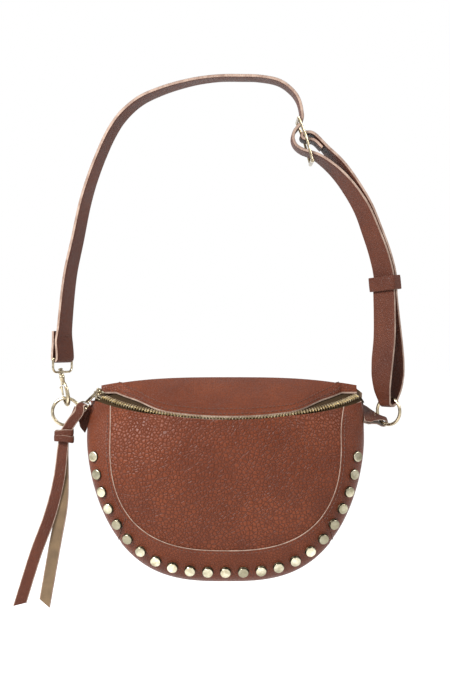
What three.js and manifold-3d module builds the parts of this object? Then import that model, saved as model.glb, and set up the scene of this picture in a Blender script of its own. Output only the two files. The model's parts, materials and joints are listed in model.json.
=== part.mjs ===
// A leather half-moon sling bag hanging from its shoulder strap.
// Millimetres, +Z up, +X to the viewer's right, the front of the bag faces -Y.
// The origin is the inside of the strap's highest point, where a shoulder or a hook carries it.
import * as THREE from 'three';
import { mergeVertices } from 'three/addons/utils/BufferGeometryUtils.js';
import Module from 'manifold-3d';

const wasm = await Module();
wasm.setup();

const rad = THREE.MathUtils.degToRad;
const vec = (x, y, z) => new THREE.Vector3(x, y, z);

// ---------------------------------------------------------------- driving dimensions
// The pieces are drawn with the back of the bag on y = 0; the group then moves them so that
// the middle of the strap is on y = 0.
const GAP = 0.3; // clearance between pieces that touch
const LEATHER = 1.8; // panel leather
const LINING = 0.8; // lining cloth

// Body outline: a superellipse with a power of its own across and down, on the back plane y = 0
const HALF_WIDTH = 137;
const HALF_HEIGHT = 142;
const WIDEST_Z = -355;
const OUTLINE_POWER_X = 3.05;
const OUTLINE_POWER_Z = 1.75;
const REACH_POWER = 2.4; // how a place on the face is ranked from its middle, 0, to the outline, 1
const CORNER_Z = -314; // height of the two top corners
const CORNER_IN_LEFT = 7; // how far the left corner leans in from the widest width
const CORNER_IN_RIGHT = -1;
const BODY_CENTRE_X = 0.5;
const BACK_TOP_Z = -298; // top of the back panel at its middle
const BACK_TOP_DROP = 11; // how much lower the top edge is at the corners

// Depth of the front: a crowned face that rolls over into the side walls
const FACE_DEPTH = 73;
const FACE_TAPER = 20; // depth lost from the middle to the rim
const SIDE_ROLL_POWER = 5;
const BOTTOM_ROLL_POWER = 8;
const LIP_BLEND = 30; // distance below the zip over which the arc becomes the full face
const FACE_CENTRE_Z = -345;
const WIDEST_DROP = FACE_CENTRE_Z - WIDEST_Z; // from the face's centre down to the widest height

// Zip: a circular arc in a plane that slopes down to the front
const ZIP_SLOPE = rad(20);
const ZIP_HALF_CHORD = 136;
const ZIP_SAGITTA = 67;
const ZIP_CENTRE_X = 4;
const ZIP_CHORD_Y = -2;
const ZIP_RADIUS = (ZIP_HALF_CHORD ** 2 + ZIP_SAGITTA ** 2) / (2 * ZIP_SAGITTA);
const ZIP_END_ANGLE = Math.asin(ZIP_HALF_CHORD / ZIP_RADIUS);
const TEETH_END_ANGLE = rad(42);
const TOOTH_PITCH = 9;
const SLIDER_ANGLE = rad(-49.3); // the slider's parked place along the arc
const LIP_OFFSET = 5.2; // leather lip from the middle of the teeth
const TOP_STRIP_WIDTH = 11;
const TOP_END_ANGLE = rad(42.5);
const TOP_DOME = 10; // the top panel's bulge, in the term t (1 - t)

// Leather border around the front panel; its inner edge is a superellipse that flares to the zip
const SEAM_HALF_WIDTH = 112;
const SEAM_HALF_HEIGHT = 108.4;
const SEAM_POWER = 2.65;
const SEAM_FLARE_LEFT = 3;
const SEAM_FLARE_RIGHT = 9;
const JOIN_APEX_Z = -299; // the border's joins lie on two slanting lines from this height
const JOIN_SLOPE = 0.57;

// Studs
const STUD_COUNT = 23;
const STUD_RADIUS = 5;
const STUD_HEIGHT = 3.4;
const STUD_INSET = 9.5; // from the outline to the stud's middle at the sides
const STUD_INSET_BELOW = 13; // and at the bottom
const STUD_TOP_Z = -374;

// Strap
const STRAP_Y = -12;
const STRAP_WIDTH = 25;
const STRAP_THICK = 3;
const LAYER_PITCH = STRAP_THICK + 0.6; // two layers lying on each other
const CLASP_X = -162.5;
const CLASP_TWIST = 57; // degrees the strap face is turned at the clasp
const CLASP_BAR_Z = -278.5;
const LOOP_TWIST = 42; // degrees the strap face is turned at the right-hand ring
const LOOP_BOTTOM_Z = -326;

// Rings
const RING_RADIUS = 13.5;
const RING_WIRE = 1.5;
const LEFT_RING = [-159, STRAP_Y, -332.2];
const RIGHT_RING = [163.5, STRAP_Y, -331.5];
const RIGHT_RING_TURN = 42; // degrees about the vertical

// Pull thong
const THONG_WIDTH = 9.5;
const THONG_THICK = 1.6;

// Swivel clasp: a wire loop in the strap, and a hook that turns in the loop's boss
const SWIVEL = vec(CLASP_X - 1.5, STRAP_Y, -292.5);
const HOOK_LEAN = rad(11);
const HOOK_TURN = rad(-60);
const CLASP_HALF = 14.3; // half the width between the loop's sides
const CLASP_CORNER = 5;

const group = new THREE.Group();
group.position.y = -STRAP_Y;

// ---------------------------------------------------------------- materials
const leather = () => new THREE.MeshStandardMaterial({ color: 0x7d4029, roughness: 0.55 });
const paleLeather = () => new THREE.MeshStandardMaterial({ color: 0x8a5038, roughness: 0.6 });
const cloth = () => new THREE.MeshStandardMaterial({ color: 0x8f7757, roughness: 0.95 });
const tape = () => new THREE.MeshStandardMaterial({ color: 0x3d2a1c, roughness: 0.95 });
const gold = () => new THREE.MeshStandardMaterial({ color: 0xd9c48f, roughness: 0.25, metalness: 1 });
const brass = () => new THREE.MeshStandardMaterial({ color: 0xa88750, roughness: 0.35, metalness: 1 });
const agedBrass = () => new THREE.MeshStandardMaterial({ color: 0xa89a70, roughness: 0.35, metalness: 1 });

function add(name, geometry, material) {
  const mesh = new THREE.Mesh(geometry, material);
  mesh.name = name;
  group.add(mesh);
  return mesh;
}

// ---------------------------------------------------------------- solid tools
function toSolid(geometry) {
  const plain = geometry.clone();
  for (const key of Object.keys(plain.attributes)) {
    if (key !== 'position') plain.deleteAttribute(key);
  }
  const merged = mergeVertices(plain, 1e-4);
  const mesh = new wasm.Mesh({
    numProp: 3,
    vertProperties: new Float32Array(merged.attributes.position.array),
    triVerts: new Uint32Array(merged.index.array),
  });
  return new wasm.Manifold(mesh);
}

function toGeometry(solid) {
  const mesh = solid.getMesh();
  const geometry = new THREE.BufferGeometry();
  geometry.setAttribute('position', new THREE.BufferAttribute(new Float32Array(mesh.vertProperties), 3));
  geometry.setIndex(new THREE.BufferAttribute(new Uint32Array(mesh.triVerts), 1));
  return geometry;
}

// Keeps the largest piece of a cut, without crumbs
function largestBody(solid) {
  return solid.decompose().reduce((best, piece) => (piece.volume() > best.volume() ? piece : best));
}

function indexed(points, triangles) {
  const geometry = new THREE.BufferGeometry();
  const values = points.flatMap((p) => [p.x, p.y, p.z]);
  geometry.setAttribute('position', new THREE.Float32BufferAttribute(values, 3));
  geometry.setIndex(triangles);
  return outward(geometry);
}

// Turns the triangles round if the solid is inside out
function outward(geometry) {
  const p = geometry.attributes.position;
  const index = geometry.index.array;
  let volume = 0;
  for (let i = 0; i < index.length; i += 3) {
    const [a, b, c] = [0, 1, 2].map((k) => new THREE.Vector3().fromBufferAttribute(p, index[i + k]));
    volume += a.dot(b.cross(c));
  }
  if (volume < 0) {
    for (let i = 0; i < index.length; i += 3) {
      [index[i], index[i + 1]] = [index[i + 1], index[i]];
    }
  }
  return geometry;
}

// A sheet with thickness: outer and inner are grids [row][column] of points
function sheetSolid(outer, inner) {
  const rows = outer.length;
  const columns = outer[0].length;
  const points = [...outer.flat(), ...inner.flat()];
  const half = rows * columns;
  const at = (side, i, j) => side * half + i * columns + j;
  const triangles = [];
  const quad = (a, b, c, d) => triangles.push(a, b, c, a, c, d);
  for (let i = 0; i < rows - 1; i += 1) {
    for (let j = 0; j < columns - 1; j += 1) {
      quad(at(0, i, j), at(0, i + 1, j), at(0, i + 1, j + 1), at(0, i, j + 1));
      quad(at(1, i, j), at(1, i, j + 1), at(1, i + 1, j + 1), at(1, i + 1, j));
    }
  }
  for (let i = 0; i < rows - 1; i += 1) {
    quad(at(0, i + 1, 0), at(0, i, 0), at(1, i, 0), at(1, i + 1, 0));
    quad(at(0, i, columns - 1), at(0, i + 1, columns - 1), at(1, i + 1, columns - 1), at(1, i, columns - 1));
  }
  for (let j = 0; j < columns - 1; j += 1) {
    quad(at(0, 0, j), at(0, 0, j + 1), at(1, 0, j + 1), at(1, 0, j));
    quad(at(0, rows - 1, j + 1), at(0, rows - 1, j), at(1, rows - 1, j), at(1, rows - 1, j + 1));
  }
  return indexed(points, triangles);
}

// Sweeps section points [u, v] through frames { p, u, v }; a closed sweep has no end caps
function sweep(frames, section, closed = false) {
  const sides = section.length;
  const points = [];
  for (const f of frames) {
    const scale = f.scale ?? 1;
    for (const [a, b] of section) {
      points.push(f.p.clone().addScaledVector(f.u, a * scale).addScaledVector(f.v, b));
    }
  }
  const triangles = [];
  const rings = frames.length;
  const last = closed ? rings : rings - 1;
  for (let i = 0; i < last; i += 1) {
    const next = (i + 1) % rings;
    for (let k = 0; k < sides; k += 1) {
      const m = (k + 1) % sides;
      triangles.push(i * sides + k, i * sides + m, next * sides + m);
      triangles.push(i * sides + k, next * sides + m, next * sides + k);
    }
  }
  if (!closed) {
    for (let k = 1; k < sides - 1; k += 1) {
      triangles.push(0, k + 1, k);
      const end = (rings - 1) * sides;
      triangles.push(end, end + k, end + k + 1);
    }
  }
  return indexed(points, triangles);
}

const circle = (radius, sides) =>
  Array.from({ length: sides }, (_, i) => {
    const a = (2 * Math.PI * i) / sides;
    return [radius * Math.cos(a), radius * Math.sin(a)];
  });

const rectangle = (width, height) => [
  [-width / 2, -height / 2],
  [width / 2, -height / 2],
  [width / 2, height / 2],
  [-width / 2, height / 2],
];

// Smooth frames through stations { p, w, scale }: w is the width direction of a flat strip
function stripFrames(stations, steps) {
  const path = new THREE.CatmullRomCurve3(stations.map((s) => s.p), false, 'centripetal');
  const frames = [];
  for (let i = 0; i <= steps; i += 1) {
    const t = i / steps;
    const place = t * (stations.length - 1);
    const k = Math.min(Math.floor(place), stations.length - 2);
    const mix = place - k;
    const a = stations[k];
    const b = stations[k + 1];
    const tangent = path.getTangent(t);
    const wide = a.w.clone().lerp(b.w, mix);
    wide.addScaledVector(tangent, -wide.dot(tangent)).normalize();
    const thick = new THREE.Vector3().crossVectors(tangent, wide).normalize();
    const scale = THREE.MathUtils.lerp(a.scale ?? 1, b.scale ?? 1, mix);
    frames.push({ p: path.getPoint(t), u: wide, v: thick, scale });
  }
  return frames;
}

// ---------------------------------------------------------------- body surface
function outlineHalfWidth(z, side) {
  if (z <= WIDEST_Z) {
    const low = Math.min((WIDEST_Z - z) / HALF_HEIGHT, 1);
    return HALF_WIDTH * (1 - low ** OUTLINE_POWER_Z) ** (1 / OUTLINE_POWER_X);
  }
  const up = (z - WIDEST_Z) / (CORNER_Z - WIDEST_Z);
  return HALF_WIDTH - (side < 0 ? CORNER_IN_LEFT : CORNER_IN_RIGHT) * up * up;
}

// Point on the outline; a runs from -1 at the left corner, through the bottom, to 1 at the right
function outlinePoint(a, inset = 0, insetBelow = inset) {
  const corner = 0.115; // share of the half outline above the widest height
  const side = Math.sign(a) || 1;
  const along = 1 - Math.abs(a);
  if (along < corner) {
    const z = CORNER_Z + (WIDEST_Z - CORNER_Z) * (along / corner);
    return [BODY_CENTRE_X + side * (outlineHalfWidth(z, side) - inset), z];
  }
  const angle = ((along - corner) / (1 - corner)) * (Math.PI / 2);
  const x = (HALF_WIDTH - inset) * Math.cos(angle) ** (2 / OUTLINE_POWER_X);
  const z = WIDEST_Z - (HALF_HEIGHT - insetBelow) * Math.sin(angle) ** (2 / OUTLINE_POWER_Z);
  return [BODY_CENTRE_X + side * x, z];
}

const forward = vec(0, -Math.cos(ZIP_SLOPE), -Math.sin(ZIP_SLOPE));
const zipUp = vec(0, -Math.sin(ZIP_SLOPE), Math.cos(ZIP_SLOPE));
const zipCentre = vec(ZIP_CENTRE_X, ZIP_CHORD_Y, CORNER_Z + 1).addScaledVector(
  forward,
  ZIP_SAGITTA - ZIP_RADIUS,
);

function zipPoint(angle, radius, rise = 0) {
  return zipCentre
    .clone()
    .add(vec(radius * Math.sin(angle), 0, 0))
    .addScaledVector(forward, radius * Math.cos(angle))
    .addScaledVector(zipUp, rise);
}

// Depth of the front surface at (x, z), with the whole skin moved in by inset
function faceDepth(x, z, lip, inset) {
  const side = x < BODY_CENTRE_X ? -1 : 1;
  const dx = x - BODY_CENTRE_X;
  const dz = z - FACE_CENTRE_Z;
  const wide = outlineHalfWidth(Math.min(z, CORNER_Z), side) - inset;
  const across = Math.min(Math.abs(dx) / (HALF_WIDTH - inset), 1);
  const down = Math.min(Math.max(-dz, 0) / (HALF_HEIGHT + WIDEST_DROP - inset), 1);
  const edge = Math.min(Math.abs(dx) / Math.max(wide, 1), 1);
  const reach = dz < -WIDEST_DROP
    ? Math.min((across ** OUTLINE_POWER_X + ((WIDEST_Z - z) / (HALF_HEIGHT - inset)) ** OUTLINE_POWER_Z)
      ** (1 / REACH_POWER), 1)
    : edge ** (OUTLINE_POWER_X / REACH_POWER);
  const steep = Math.atan2(down, across) / (Math.PI / 2);
  const power = THREE.MathUtils.lerp(SIDE_ROLL_POWER, BOTTOM_ROLL_POWER, steep);
  const roll = (1 - Math.min(reach, 1) ** power) ** (1 / power);
  const full = (FACE_DEPTH - inset - FACE_TAPER * reach * reach) * roll;
  const below = Math.max(lip.z - z, 0);
  const blend = 1 - Math.exp(-below / LIP_BLEND);
  return -lip.y + (full + lip.y) * blend;
}

// Grid of the front skin between the zip lip and the outline
function frontGrid(inset) {
  const acrossSteps = 24;
  const downSteps = 9;
  const endShare = 0.965;
  const rows = [];
  for (let i = 0; i <= acrossSteps; i += 1) {
    const a = THREE.MathUtils.lerp(-endShare, endShare, i / acrossSteps);
    const lip = zipPoint(a * ZIP_END_ANGLE, ZIP_RADIUS + LIP_OFFSET + LEATHER - inset);
    const [edgeX, edgeZ] = outlinePoint(a, inset);
    const row = [];
    for (let j = 0; j <= downSteps; j += 1) {
      const share = Math.sin((j / downSteps) * (Math.PI / 2));
      const x = THREE.MathUtils.lerp(lip.x, edgeX, share);
      const z = THREE.MathUtils.lerp(lip.z, edgeZ, share);
      const depth = j === downSteps ? GAP : Math.max(faceDepth(x, z, lip, inset), GAP);
      row.push(j === 0 ? lip : vec(x, -depth, z));
    }
    rows.push(row);
  }
  return rows;
}

// Closed prism through the bag along Y, from an outline in (x, z)
function prismY(outline, y0, y1) {
  const shape = new THREE.Shape(outline.map(([x, z]) => new THREE.Vector2(x, z)));
  const geometry = new THREE.ExtrudeGeometry(shape, { depth: y1 - y0, bevelEnabled: false });
  geometry.rotateX(Math.PI / 2);
  geometry.translate(0, y1, 0);
  return geometry;
}

function outlineLoop(inset, top, insetBelow = inset) {
  const points = [];
  const steps = 40;
  for (let i = 0; i <= steps; i += 1) {
    const [x, z] = outlinePoint(THREE.MathUtils.lerp(-1, 1, i / steps), inset, insetBelow);
    points.push([x, Math.min(z, top)]);
  }
  return points;
}

// Inner edge of the border, moved in by extra
function seamLoop(extra) {
  const points = [];
  const rise = 4;
  const steps = 36;
  const flared = (side, k) => {
    const up = k / rise;
    const flare = side < 0 ? SEAM_FLARE_LEFT : SEAM_FLARE_RIGHT;
    const x = BODY_CENTRE_X + side * (SEAM_HALF_WIDTH - extra + flare * up * up);
    return [x, THREE.MathUtils.lerp(WIDEST_Z, CORNER_Z, up)];
  };
  for (let k = rise; k > 0; k -= 1) points.push(flared(-1, k));
  for (let i = 0; i <= steps; i += 1) {
    const angle = (Math.PI * i) / steps;
    const power = 2 / SEAM_POWER;
    const x = (SEAM_HALF_WIDTH - extra) * Math.abs(Math.cos(angle)) ** power * Math.sign(Math.cos(angle));
    const z = WIDEST_Z - (SEAM_HALF_HEIGHT - extra) * Math.sin(angle) ** power;
    points.push([BODY_CENTRE_X - x, z]);
  }
  for (let k = 1; k <= rise; k += 1) points.push(flared(1, k));
  return points;
}

function backTop(x) {
  const share = Math.min(Math.abs(x - ZIP_CENTRE_X) / ZIP_HALF_CHORD, 1);
  return BACK_TOP_Z - BACK_TOP_DROP * share ** 3;
}

// ---------------------------------------------------------------- bag panels
function makeFront() {
  const shell = toSolid(sheetSolid(frontGrid(0), frontGrid(LEATHER)));
  const seam = (extra) => {
    const points = seamLoop(extra);
    points.push([points.at(-1)[0], -200], [points[0][0], -200]);
    return toSolid(prismY(points, -120, 40));
  };
  add('front_panel', toGeometry(largestBody(shell.intersect(seam(GAP / 2)))), leather());
  const border = shell.subtract(seam(-GAP / 2));
  const below = (grow) => {
    const run = 300;
    const apex = JOIN_APEX_Z + grow;
    const foot = apex - run;
    return toSolid(prismY([
      [BODY_CENTRE_X, apex],
      [BODY_CENTRE_X - JOIN_SLOPE * run, foot],
      [BODY_CENTRE_X + JOIN_SLOPE * run, foot],
    ], -120, 40));
  };
  add('border_bottom', toGeometry(largestBody(border.intersect(below(-GAP)))), leather());
  const sides = border.subtract(below(GAP)).decompose().filter((piece) => piece.volume() > 100);
  for (const piece of sides) {
    const box = piece.boundingBox();
    add(box.min[0] + box.max[0] < 0 ? 'border_left' : 'border_right', toGeometry(piece), leather());
  }
}

function makeBack() {
  const points = outlineLoop(0, CORNER_Z);
  const steps = 12;
  for (let i = 0; i <= steps; i += 1) {
    const x = THREE.MathUtils.lerp(points[40][0], points[0][0], i / steps);
    points.push([x, backTop(x) - GAP]);
  }
  add('back_panel', prismY(points, GAP, GAP + LEATHER), leather());
}

function makeLinings() {
  // the lining starts one column in from the left, clear of the slider
  const outer = frontGrid(LEATHER + GAP).slice(1);
  const inner = frontGrid(LEATHER + GAP + LINING).slice(1);
  const lift = 1.2; // lining stops short of the back lining
  for (const grid of [outer, inner]) {
    grid.forEach((row) => {
      row.at(-1).y -= lift;
    });
  }
  add('lining_front', sheetSolid(outer, inner), cloth());
  const back = outlineLoop(5, CORNER_Z - 6);
  add('lining_back', prismY(back, -LINING, 0), cloth());
  const pocket = [[-70, -330], [-70, -430], [72, -430], [72, -330]];
  add('slip_pocket', prismY(pocket, -2.2, -LINING - GAP), cloth());
}

// Height of the top panel above (x, y), where t runs from the back edge to the zip
function topGrid(rearRadius, frontRadius, columns, drop) {
  const rows = [];
  const steps = 20;
  for (let i = 0; i <= steps; i += 1) {
    const angle = THREE.MathUtils.lerp(-TOP_END_ANGLE, TOP_END_ANGLE, i / steps);
    const lip = zipPoint(angle, ZIP_RADIUS - LIP_OFFSET);
    const back = vec(lip.x, -GAP, backTop(lip.x));
    const lipShare = (radius) => {
      const p = zipPoint(angle, radius);
      return (p.y - back.y) / (lip.y - back.y);
    };
    const start = rearRadius === null ? 0 : lipShare(rearRadius);
    const end = frontRadius === null ? 1 : lipShare(frontRadius);
    const row = [];
    for (let j = 0; j <= columns; j += 1) {
      const t = THREE.MathUtils.lerp(start, end, j / columns);
      const p = back.clone().lerp(lip, t);
      p.z += TOP_DOME * t * (1 - t) - drop;
      row.push(p);
    }
    rows.push(row);
  }
  return rows;
}

function makeTop() {
  const seam = ZIP_RADIUS - LIP_OFFSET - TOP_STRIP_WIDTH;
  const sheet = (start, end, columns, drop, thick) => sheetSolid(
    topGrid(start, end, columns, drop),
    topGrid(start, end, columns, drop + thick),
  );
  add('top_panel', sheet(null, seam - GAP, 6, 0, LEATHER), leather());
  add('top_zip_strip', sheet(seam, null, 2, 0, LEATHER), leather());
  const liningDrop = LEATHER + GAP + 0.9;
  add('lining_top', sheet(null, seam + 3, 5, liningDrop, LINING), cloth());
}

// ---------------------------------------------------------------- zip
function arcBand(inner, outer, low, high, endAngle, steps) {
  const frames = [];
  for (let i = 0; i <= steps; i += 1) {
    const angle = THREE.MathUtils.lerp(-endAngle, endAngle, i / steps);
    const middle = zipPoint(angle, (inner + outer) / 2, (low + high) / 2);
    const out = zipPoint(angle, ZIP_RADIUS + 1).sub(zipPoint(angle, ZIP_RADIUS));
    frames.push({ p: middle, u: out, v: zipUp });
  }
  return sweep(frames, rectangle(outer - inner, high - low));
}

// One row of teeth: a bead whose meshing side is notched
function toothRow(side) {
  const count = Math.round((2 * TEETH_END_ANGLE * ZIP_RADIUS) / TOOTH_PITCH);
  const half = 1.1;
  const top = [];
  const bottom = [];
  for (let i = 0; i < count; i += 1) {
    for (const [share, reach] of [[0, 0.75], [0.5, 0.75], [0.5, 1.5], [1, 1.5]]) {
      const angle = THREE.MathUtils.lerp(-TEETH_END_ANGLE, TEETH_END_ANGLE, (i + share * 0.998) / count);
      const near = ZIP_RADIUS + side * reach;
      const far = ZIP_RADIUS + side * 3;
      top.push([zipPoint(angle, near, half), zipPoint(angle, far, half)]);
      bottom.push([zipPoint(angle, near, -half), zipPoint(angle, far, -half)]);
    }
  }
  return sheetSolid(top, bottom);
}

function makeZip() {
  const under = [-1.9, -1.4]; // height of the tapes below the middle of the teeth
  add('zip_tape_front', arcBand(ZIP_RADIUS + 1.4, ZIP_RADIUS + 3.9, ...under, rad(46), 24), tape());
  add('zip_tape_rear', arcBand(ZIP_RADIUS - 4.1, ZIP_RADIUS - 1.4, ...under, TOP_END_ANGLE, 24), tape());
  add('zip_teeth_front', toothRow(1), brass());
  add('zip_teeth_rear', toothRow(-1), brass());
}


// Local frame of the slider: X along the zip, Y across it, Z up out of the zip plane
function sliderMatrix() {
  const along = zipPoint(SLIDER_ANGLE + 0.001, ZIP_RADIUS)
    .sub(zipPoint(SLIDER_ANGLE, ZIP_RADIUS))
    .normalize();
  const across = new THREE.Vector3().crossVectors(zipUp, along);
  return new THREE.Matrix4()
    .makeBasis(along, across, zipUp)
    .setPosition(zipPoint(SLIDER_ANGLE, ZIP_RADIUS));
}

const box = (w, d, h, x, y, z) => toSolid(new THREE.BoxGeometry(w, d, h)).translate([x, y, z]);

function makeSlider() {
  const matrix = sliderMatrix();
  const top = box(9.5, 8, 1.3, 0, 0, 2.2);
  const bottom = box(9.5, 8, 1.2, 0, 0, -3);
  const post = box(2.6, 0.8, 5.2, -3, 0, -0.4);
  const carriage = toSolid(toGeometry(top.add(bottom).add(post)).applyMatrix4(matrix));
  const ear = (side) => box(2.6, 0.9, 4.8, 0, side * 2, -1.3);
  const pin = toSolid(new THREE.CylinderGeometry(0.7, 0.7, 4.4, 8));
  const lug = toSolid(toGeometry(ear(-1).add(ear(1)).add(pin)).applyMatrix4(lugMatrix()));
  add('zip_slider', toGeometry(carriage.add(lug)), gold());
}

const PULLER_TOP = zipPoint(SLIDER_ANGLE, ZIP_RADIUS, 5.4);
const EYE = vec(-139.5, -22.5, -324.5);
const pullerDown = EYE.clone().sub(PULLER_TOP).normalize();
const pullerWide = new THREE.Vector3().crossVectors(pullerDown, zipUp).normalize();
const pullerFace = new THREE.Vector3().crossVectors(pullerDown, pullerWide);

function lugMatrix() {
  const x = new THREE.Vector3().crossVectors(pullerWide, zipUp);
  return new THREE.Matrix4().makeBasis(x, pullerWide, zipUp).setPosition(PULLER_TOP);
}

// Pull plate: a barrel round the slider's pin and a slotted eye for the thong
function makePuller() {
  const length = EYE.distanceTo(PULLER_TOP);
  const barrel = (radius, width) => toSolid(new THREE.CylinderGeometry(radius, radius, width, 12));
  const neck = box(length - 2, 2.4, 1, length / 2, 0, 0);
  const eye = box(7.8, 13.4, 1, length, 0, 0);
  const slot = box(4.8, 10.8, 3, length - 0.2, 0, 0);
  const plate = barrel(1.9, 2.4).add(neck).add(eye).subtract(slot).subtract(barrel(1, 5));
  const matrix = new THREE.Matrix4().makeBasis(pullerDown, pullerWide, pullerFace).setPosition(PULLER_TOP);
  add('zip_puller', toGeometry(plate).applyMatrix4(matrix), gold());
}

// ---------------------------------------------------------------- pull thong

function thongStation(x, y, z, turn, scale = 1) {
  return { p: vec(x, y, z), w: vec(Math.cos(turn), 0, Math.sin(turn)), scale };
}

// Station of the thong where it turns through the puller's eye: along the plate, out of its face
function atEye([along, out]) {
  const front = pullerFace.y < 0 ? 1 : -1;
  const p = EYE.clone().addScaledVector(pullerDown, along).addScaledVector(pullerFace, front * out);
  const w = pullerWide.clone().multiplyScalar(pullerWide.x > 0 ? 1 : -1);
  return { p, w, scale: 0.85 };
}

function makeThong() {
  const lean = rad(-17);
  const stations = [
    thongStation(-203, -25, -522, lean, 1.15),
    thongStation(-187, -25, -471, lean, 1.15),
    thongStation(-173, -25, -433, lean, 1.15),
    thongStation(-164, -27, -398, rad(-10), 1.1),
    thongStation(-160, -28, -366, 0),
    thongStation(-158, -28.4, -353, rad(-20), 0.9),
    thongStation(-151, -30, -341, rad(-35), 0.9),
    thongStation(-144, -31, -332, rad(-30), 0.85),
    ...[[5, 2.6], [2.6, 2.6], [0.6, 1.8], [0.2, 0], [0.6, -1.8], [2.6, -2.6], [5, -2.6]].map(atEye),
    thongStation(-144.5, -21.3, -331, rad(-30), 0.85),
    thongStation(-152, -24.2, -342, rad(-35), 0.9),
    thongStation(-159, -25.4, -354, rad(-20), 0.9),
    thongStation(-160, -25.4, -366, 0),
    thongStation(-161, -24, -420, rad(-4), 1.1),
    thongStation(-169, -21, -465, rad(-10), 1.15),
    thongStation(-179, -21, -522, rad(-10), 1.15),
  ];
  const frames = stripFrames(stations, 72);
  add('pull_thong', sweep(frames, rectangle(THONG_WIDTH, THONG_THICK)), leather());
  const wrap = box(19, 11, 11, -158.9, -27.7, -355);
  const bore = box(15.8, 9.2, 30, -158.9, -27.6, -355);
  add('thong_wrap', toGeometry(wrap.subtract(bore)), paleLeather());
}

// ---------------------------------------------------------------- rings and tabs
function ringFrames(centre, radius, turn, steps) {
  const across = vec(Math.cos(turn), Math.sin(turn), 0);
  const axis = vec(-Math.sin(turn), Math.cos(turn), 0);
  return Array.from({ length: steps }, (_, i) => {
    const a = (2 * Math.PI * i) / steps;
    const out = across.clone().multiplyScalar(Math.cos(a)).addScaledVector(vec(0, 0, 1), Math.sin(a));
    return { p: vec(...centre).addScaledVector(out, radius), u: out, v: axis };
  });
}

function makeRing(name, centre, turn) {
  add(name, sweep(ringFrames(centre, RING_RADIUS, turn, 28), circle(RING_WIRE, 6), true), gold());
}

// A folded leather tab: round the ring's wire at one end, sewn into the side seam at the other
function makeTab(name, wirePoint, wireRun, seamPoint, narrow, wide) {
  const along = vec(...seamPoint).sub(vec(...wirePoint));
  const length = along.length();
  along.normalize();
  const height = vec(...wireRun);
  height.addScaledVector(along, -along.dot(height)).normalize();
  const depth = new THREE.Vector3().crossVectors(height, along);
  const outer = 4.5;
  const inner = outer - 1.4;
  const shape = new THREE.Shape();
  shape.absarc(-2.8, 0, outer, Math.PI / 2, (3 * Math.PI) / 2, false);
  shape.lineTo(length, -2.2);
  shape.lineTo(length, 2.2);
  shape.closePath();
  const slot = new THREE.Path();
  slot.absarc(-2.8, 0, inner, Math.PI / 2, (3 * Math.PI) / 2, false);
  slot.lineTo(4.4, -inner * 0.7);
  slot.lineTo(4.4, inner * 0.7);
  slot.closePath();
  shape.holes.push(slot);
  const fold = new THREE.ExtrudeGeometry(shape, { depth: wide, bevelEnabled: false, curveSegments: 8 });
  fold.translate(0, 0, -wide / 2);
  const taper = new THREE.ExtrudeGeometry(
    new THREE.Shape([
      [-10, -narrow / 2],
      [3, -narrow / 2],
      [length + 1, -wide / 2 - 1],
      [length + 1, wide / 2 + 1],
      [3, narrow / 2],
      [-10, narrow / 2],
    ].map(([x, y]) => new THREE.Vector2(x, y))),
    { depth: 20, bevelEnabled: false },
  );
  taper.translate(0, 0, -10);
  taper.rotateX(Math.PI / 2);
  const solid = toSolid(fold).intersect(toSolid(taper));
  const matrix = new THREE.Matrix4().makeBasis(along, depth, height).setPosition(vec(...wirePoint));
  const side = Math.sign(wirePoint[0]);
  const bag = box(200, 100, 300, seamPoint[0] - side * 100, 0, -340);
  add(name, toGeometry(toSolid(toGeometry(solid).applyMatrix4(matrix)).subtract(bag)), leather());
}

function makeTabs() {
  const leftAngle = rad(-8); // where each tab grips its ring
  const leftWire = [
    LEFT_RING[0] + RING_RADIUS * Math.cos(leftAngle),
    STRAP_Y,
    LEFT_RING[2] + RING_RADIUS * Math.sin(leftAngle),
  ];
  makeTab('left_tab', leftWire, [0.14, 0, 0.99], [-138.6, STRAP_Y, -337], 10, 32);
  const a = rad(228); // the right tab's place on its ring
  const c = Math.cos(-rad(RIGHT_RING_TURN));
  const s = Math.sin(-rad(RIGHT_RING_TURN));
  const out = RING_RADIUS * Math.cos(a);
  const rightWire = [
    RIGHT_RING[0] + out * c,
    RIGHT_RING[1] + out * s,
    RIGHT_RING[2] + RING_RADIUS * Math.sin(a),
  ];
  const run = [-Math.sin(a) * c, -Math.sin(a) * s, Math.cos(a)];
  makeTab('right_tab', rightWire, run, [141, STRAP_Y, -335], 6, 30);
}

// ---------------------------------------------------------------- strap
// Width direction, from the outer to the inner edge, where the path runs along (tx, tz)
function stripWide(tx, tz, twist) {
  const t = rad(twist);
  const length = Math.hypot(tx, tz);
  return vec((Math.cos(t) * tz) / length, Math.sin(t), (-Math.cos(t) * tx) / length);
}

function stripFace(tx, tz, twist) {
  const t = rad(twist);
  const length = Math.hypot(tx, tz);
  return vec((Math.sin(t) * tz) / length, -Math.cos(t), (-Math.sin(t) * tx) / length);
}

const claspWide = stripWide(0, 1, CLASP_TWIST);
const claspFace = stripFace(0, 1, CLASP_TWIST);
const loopWide = stripWide(0, -1, LOOP_TWIST);
const loopFace = stripFace(0, -1, LOOP_TWIST);
const claspBar = vec(CLASP_X, STRAP_Y, CLASP_BAR_Z);

// Single layer, from above the clasp over the top to the adjuster: x, z, twist in degrees
const OVER_ROUTE = [
  [-160.5, -250, 65], [-155, -196, 69], [-147.5, -160, 71], [-140, -124, 73], [-133, -100, 75],
  [-124, -76, 76], [-113, -52.5, 77], [-102, -36.5, 79], [-85, -21.5, 82], [-65, -12, 85],
  [-45, -5.5, 87], [-25, -1, 89], [-5, 1.3, 90], [15, 1.5, 90], [35, 0.8, 90], [54, -3.2, 90],
  [66, -11.5, 90], [73, -21, 90], [76.2, -33, 90], [76.5, -41, 90],
];
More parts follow.
